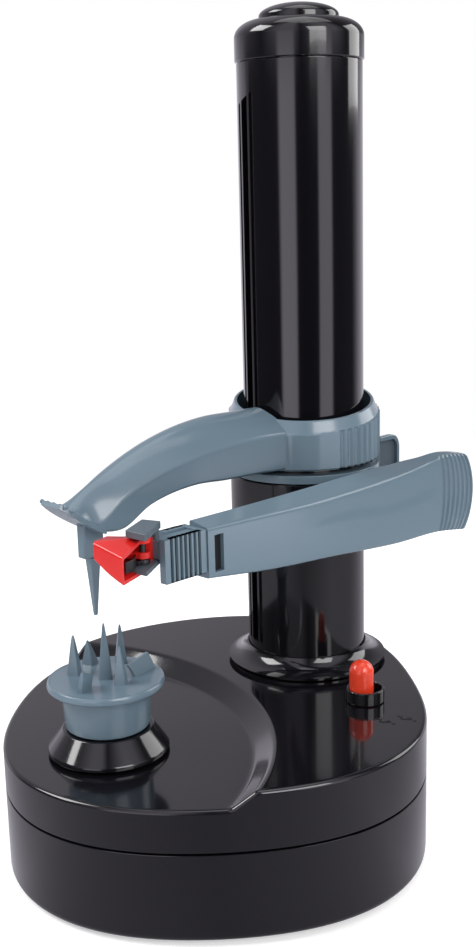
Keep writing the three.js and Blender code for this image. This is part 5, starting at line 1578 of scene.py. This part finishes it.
@dataclass
class Switch:
    """The sliding lever, its collar and the marks beside it."""

    degrees: float = 42.5
    rest: float = -1.2
    mark: tuple[tuple[Pair, ...], ...] = (
        ((-2.6, 0.7), (-0.9, 0.7), (-0.9, -0.9), (0.9, -0.9), (0.9, 0.1), (2.3, 0.1)),
        ((1.5, 1.1), (2.6, 0.1), (1.5, -0.9)),
        ((3.4, -0.9), (4.6, -0.9)))
    marks: tuple[tuple[str, float, float], ...] = (("first", 65.0, -22.2), ("second", 61.3, -28.9))
    mark_degrees: float = 20.0

    def build(self, shop: Workshop) -> None:
        """The lever, the collar and two plain marks on the deck.

        Args:
            shop: where the pieces are made.
        """
        dome = arc((0, 61.9), (4.3, 4.3), (0, 90), 14)
        dome[-1, 0] = 0.0
        profile = np.concatenate([[(0, 43.5), (2, 43.5), (2, SEAT), (4.2, SEAT),
                                   (4.3, SEAT + 0.3)], dome])
        lever = revolve(profile, 64).moved(x=self.rest).moved(*SWITCH, degrees=self.degrees)
        shop.add("slide_lever", lever, LEVER_RED, Body.LEVER, "switch_lever")
        collar = tube(5.8, 6.8, SEAT, 56.1, 0.35, 96).moved(*SWITCH, degrees=self.degrees)
        shop.add("lever_collar", collar, GLOSS_BLACK, Body.HOUSING, "switch_collar")
        for name, x, y in self.marks:
            first, second, third = [self.stroke(path) for path in self.mark]
            mark = (first + second + third).moved(x, y, degrees=self.mark_degrees)
            shop.add(f"{name}_deck_mark", mark, INNER_BLACK, Body.HOUSING)

    @staticmethod
    def stroke(path: Sequence[Pair], width: float = 0.45, rise: float = 0.12) -> Skin:
        """A raised line on the deck along a bent path, its ends square.

        Args:
            path: points of its middle line.
            width: its width.
            rise: how far it stands over the deck.

        Returns:
            A closed skin.
        """
        middle = np.array(path, float)
        steps = np.diff(middle, axis=0)
        steps /= np.linalg.norm(steps, axis=1, keepdims=True)
        side = np.stack([-steps[:, 1], steps[:, 0]], axis=-1)
        before, after = np.vstack([side[:1], side]), np.vstack([side, side[-1:]])
        out = before + after
        out /= np.sum(out * before, axis=1, keepdims=True)
        outline = np.concatenate([middle - out * width / 2, (middle + out * width / 2)[::-1]])
        return slab(outline, DECK - 0.2, DECK + rise, 0.0, 2)


# Studio


@dataclass
class Studio:
    """The camera that was solved from the photograph, plain lamps, a pale floor and the world."""

    tower: Triple
    eye: Triple = (313.0636, -339.5793, 228.7743)
    right: Triple = (0.70132, 0.712434, -0.024236)
    up: Triple = (-0.141843, 0.172788, 0.974692)
    ahead: Triple = (-0.698591, 0.680134, -0.222234)
    lens: float = 47.966
    sensor: float = 36.0
    soft_light: float = 0.42
    floor_half: float = 1.5
    floor_glow: float = 0.42
    floor_fade: Pair = (0.32, 0.75)
    card_radius: float = 2.6
    card_height: float = 3.0
    card_tint: Triple = (0.97, 0.93, 1.04)
    card_eye: float = 0.15
    card_rise: Pair = (6.0, 11.0)
    card_near: Pair = (0.36, 0.48)
    card_far: Pair = (0.54, 0.64)
    low_stops: tuple[Pair, ...] = (
        (0.0, 0.9), (0.16, 0.8), (0.2, 0.05), (0.375, 0.02), (0.392, 2.0), (0.462, 1.9),
        (0.474, 0.0), (0.578, 0.0), (0.59, 1.7), (0.65, 1.7), (0.662, 0.02), (0.79, 0.05),
        (0.85, 0.8), (1.0, 0.9))
    high_stops: tuple[Pair, ...] = (
        (0.0, 0.4), (0.06, 0.6), (0.2, 0.4), (0.3, 0.06), (0.4, 1.0), (0.46, 1.0), (0.5, 0.05),
        (0.6, 0.9), (0.68, 0.9), (0.74, 0.05), (0.9, 0.2), (1.0, 0.4))
    near_stops: tuple[Pair, ...] = (
        (0.0, 0.5), (0.2, 0.42), (0.33, 0.62), (0.41, 0.42), (0.49, 0.27), (0.56, 0.4),
        (0.65, 0.62), (0.76, 0.46), (0.85, 0.6), (1.0, 0.5))
    middle_stops: tuple[Pair, ...] = (
        (0.0, 0.5), (0.2, 0.42), (0.33, 0.6), (0.41, 0.6), (0.49, 0.3), (0.56, 0.4), (0.66, 0.5),
        (0.7, 0.5), (0.712, 2.3), (0.738, 2.3), (0.752, 0.25), (0.85, 0.6), (1.0, 0.5))
    lamp_aim: Triple = (0.0, 0.0, 0.12)
    lamp_rows: tuple[tuple[str, Triple, float, float], ...] = (
        ("key", (-0.9, -1.0, 1.3), 0.9, 23.0), ("side", (1.3, -0.3, 0.8), 0.8, 11.0),
        ("end", (0.5, 1.2, 0.7), 0.8, 7.0), ("top", (0.0, 0.2, 1.8), 1.2, 6.0))

    def build(self) -> None:
        """Everything that isn't part of the object."""
        self.camera()
        self.world()
        self.floor()
        self.cards()
        self.lamps()
        bpy.context.scene.view_settings.view_transform = "Standard"

    def camera(self) -> None:
        """The camera, its axes given by the solved right, up and ahead directions."""
        data = bpy.data.cameras.new("camera")
        data.sensor_width, data.lens = self.sensor, self.lens
        data.clip_start, data.clip_end = 0.01, 20.0
        camera = link("camera", data)
        back = [-part for part in self.ahead]
        axes = Matrix([self.right, self.up, back]).transposed().to_4x4()
        place = (Vector(self.eye) + Vector(self.tower)) * MILLIMETRE
        camera.matrix_world = Matrix.Translation(place) @ axes
        bpy.context.scene.camera = camera

    def world(self) -> None:
        """White to the camera, to gloss and through glass; softer for plain light."""
        world = bpy.data.worlds.new("studio")
        bpy.context.scene.world = world
        world.use_nodes = True
        graph = Graph(world.node_tree)
        path = graph.node("ShaderNodeLightPath", output="Is Camera Ray")
        rays = path + path.sibling("Is Glossy Ray") + path.sibling("Is Transmission Ray")
        seen = rays.clipped()
        soft, white = [graph.node("ShaderNodeBackground", {},
                                  {"Color": (1, 1, 1, 1), "Strength": strength})
                       for strength in (self.soft_light, 1.0)]
        graph.close(graph.node("ShaderNodeMixShader", {}, {0: seen, 1: soft, 2: white}), "World")

    def floor(self) -> None:
        """A large pale floor that keeps the object's shadow and fades out further off."""
        half = self.floor_half
        data = bpy.data.meshes.new("floor")
        data.from_pydata([(-half, -half, 0), (half, -half, 0), (half, half, 0), (-half, half, 0)],
                         [], [(0, 1, 2, 3)])
        floor = link("floor", data)
        material, graph = fresh_material("pale floor")
        tint = graph.mixed(graph.noise(30.0, 2.0), (0.8, 0.8, 0.8, 1), (0.83, 0.83, 0.83, 1))
        pale = graph.node("ShaderNodeBsdfPrincipled", {}, {
            "Base Color": tint, "Roughness": 0.9, "Emission Color": (1, 1, 1, 1),
            "Emission Strength": self.floor_glow})
        clear = graph.node("ShaderNodeBsdfTransparent")
        reach = graph.node("ShaderNodeVectorMath", {"operation": "LENGTH"}, {0: graph.place()},
                           output=1)
        fade = graph.fade(reach, *self.floor_fade)
        graph.close(graph.node("ShaderNodeMixShader", {}, {0: fade, 1: pale, 2: clear}))
        data.materials.append(material)

    def cards(self) -> None:
        """Dark cards and pale strips round the set, seen only in reflections on gloss.

        They are one turned wall with a floor and a ceiling, lit as card_light says.
        """
        around = np.linspace(0.0, 1.0, 97)[:-1] * TURN
        profile = np.array([(0.0, 0.001), (0.25, 0.001), (0.8, 0.001), (self.card_radius, 0.001),
                            (self.card_radius, self.card_height), (0.0, self.card_height)])
        radius, height = profile[:, 0, None], profile[:, 1, None]
        points = np.stack([radius * np.cos(around), radius * np.sin(around),
                           height + 0 * around], axis=-1)
        skin = grid(points)
        data = bpy.data.meshes.new("cards")
        data.from_pydata(skin.points.tolist(), [], skin.faces[0].tolist())
        cards = link("cards", data)
        for kind in ("camera", "diffuse", "transmission", "volume_scatter", "shadow"):
            setattr(cards, f"visible_{kind}", False)
        material, graph = fresh_material("reflected cards")
        self.card_light(graph)
        data.materials.append(material)

    def card_light(self, graph: Graph) -> None:
        """The cards' light by azimuth, height and distance.

        It depends on the azimuth a = atan2(y, x) past the camera's own direction, by one ramp near
        the horizon, another above it, and two more on the floor near the object and further out.

        Args:
            graph: the material's empty graph.
        """
        turn = math.atan2(self.ahead[1], self.ahead[0]) / TURN
        split = graph.node("ShaderNodeSeparateXYZ", {}, {0: graph.place()})
        x, y, z = [split.sibling(axis) for axis in "XYZ"]
        azimuth = graph.maths("ARCTAN2", y, x) * (1 / TURN)
        share = graph.maths("FRACT", azimuth + (1.0 - turn))
        low, high, near, middle = [
            graph.node("ShaderNodeValToRGB", {"stops": [
                (place, (*[level * part for part in self.card_tint], 1))
                for place, level in stops]}, {0: share})
            for stops in (self.low_stops, self.high_stops, self.near_stops, self.middle_stops)]
        reach = graph.maths("SQRT", x * x + y * y)
        rise = graph.maths("ARCTAN2", z - self.card_eye, reach) * (360 / TURN)
        sides = graph.mixed(graph.fade(rise, *self.card_rise), low, high)
        beyond = graph.mixed(graph.fade(reach, *self.card_far), middle, sides)
        light = graph.mixed(graph.fade(reach, *self.card_near), near, beyond)
        graph.close(graph.node("ShaderNodeEmission", {}, {"Color": light, "Strength": 1.0}))

    def lamps(self) -> None:
        """Large soft lamps, each aimed at the middle of the object."""
        for name, place, size, power in self.lamp_rows:
            data = bpy.data.lights.new(name, "AREA")
            data.shape, data.size, data.energy = "SQUARE", size, power
            lamp = link(name, data)
            lamp.location = place
            aim = Vector(self.lamp_aim) - Vector(place)
            lamp.rotation_euler = aim.to_track_quat("-Z", "Y").to_euler()


def dress_nodes(frame: dict) -> None:
    """Gives every CAD node the finish of its material slot.
    """
    by_slot = {finish.slot: finish for finish in FINISHES}
    slots = {part["node"]: part["material_slot"] for part in frame["record"]["subparts"]}
    for name, node in frame["nodes"].items():
        node.data.materials.clear()
        node.data.materials.append(by_slot[slots[name]].make())


def main() -> None:
    """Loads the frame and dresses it."""
    logging.basicConfig(level=logging.INFO, format="%(message)s")
    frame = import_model()
    low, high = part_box("tower_cap")
    middle = (low + high) / 2
    tower = (middle.x / MILLIMETRE, middle.y / MILLIMETRE, 0.0)
    dress_nodes(frame)
    shop = Workshop(tower)
    for assembly in (Housing(), Turntable(), Tower(), PotatoArm(), Carriage(), PeelArm(),
                     Cutter(), Switch()):
        log.info("building %s", type(assembly).__name__)
        assembly.build(shop)
    Studio(tower).build()
    log.info("%d new pieces", shop.pieces)


if __name__ == "__main__":
    main()
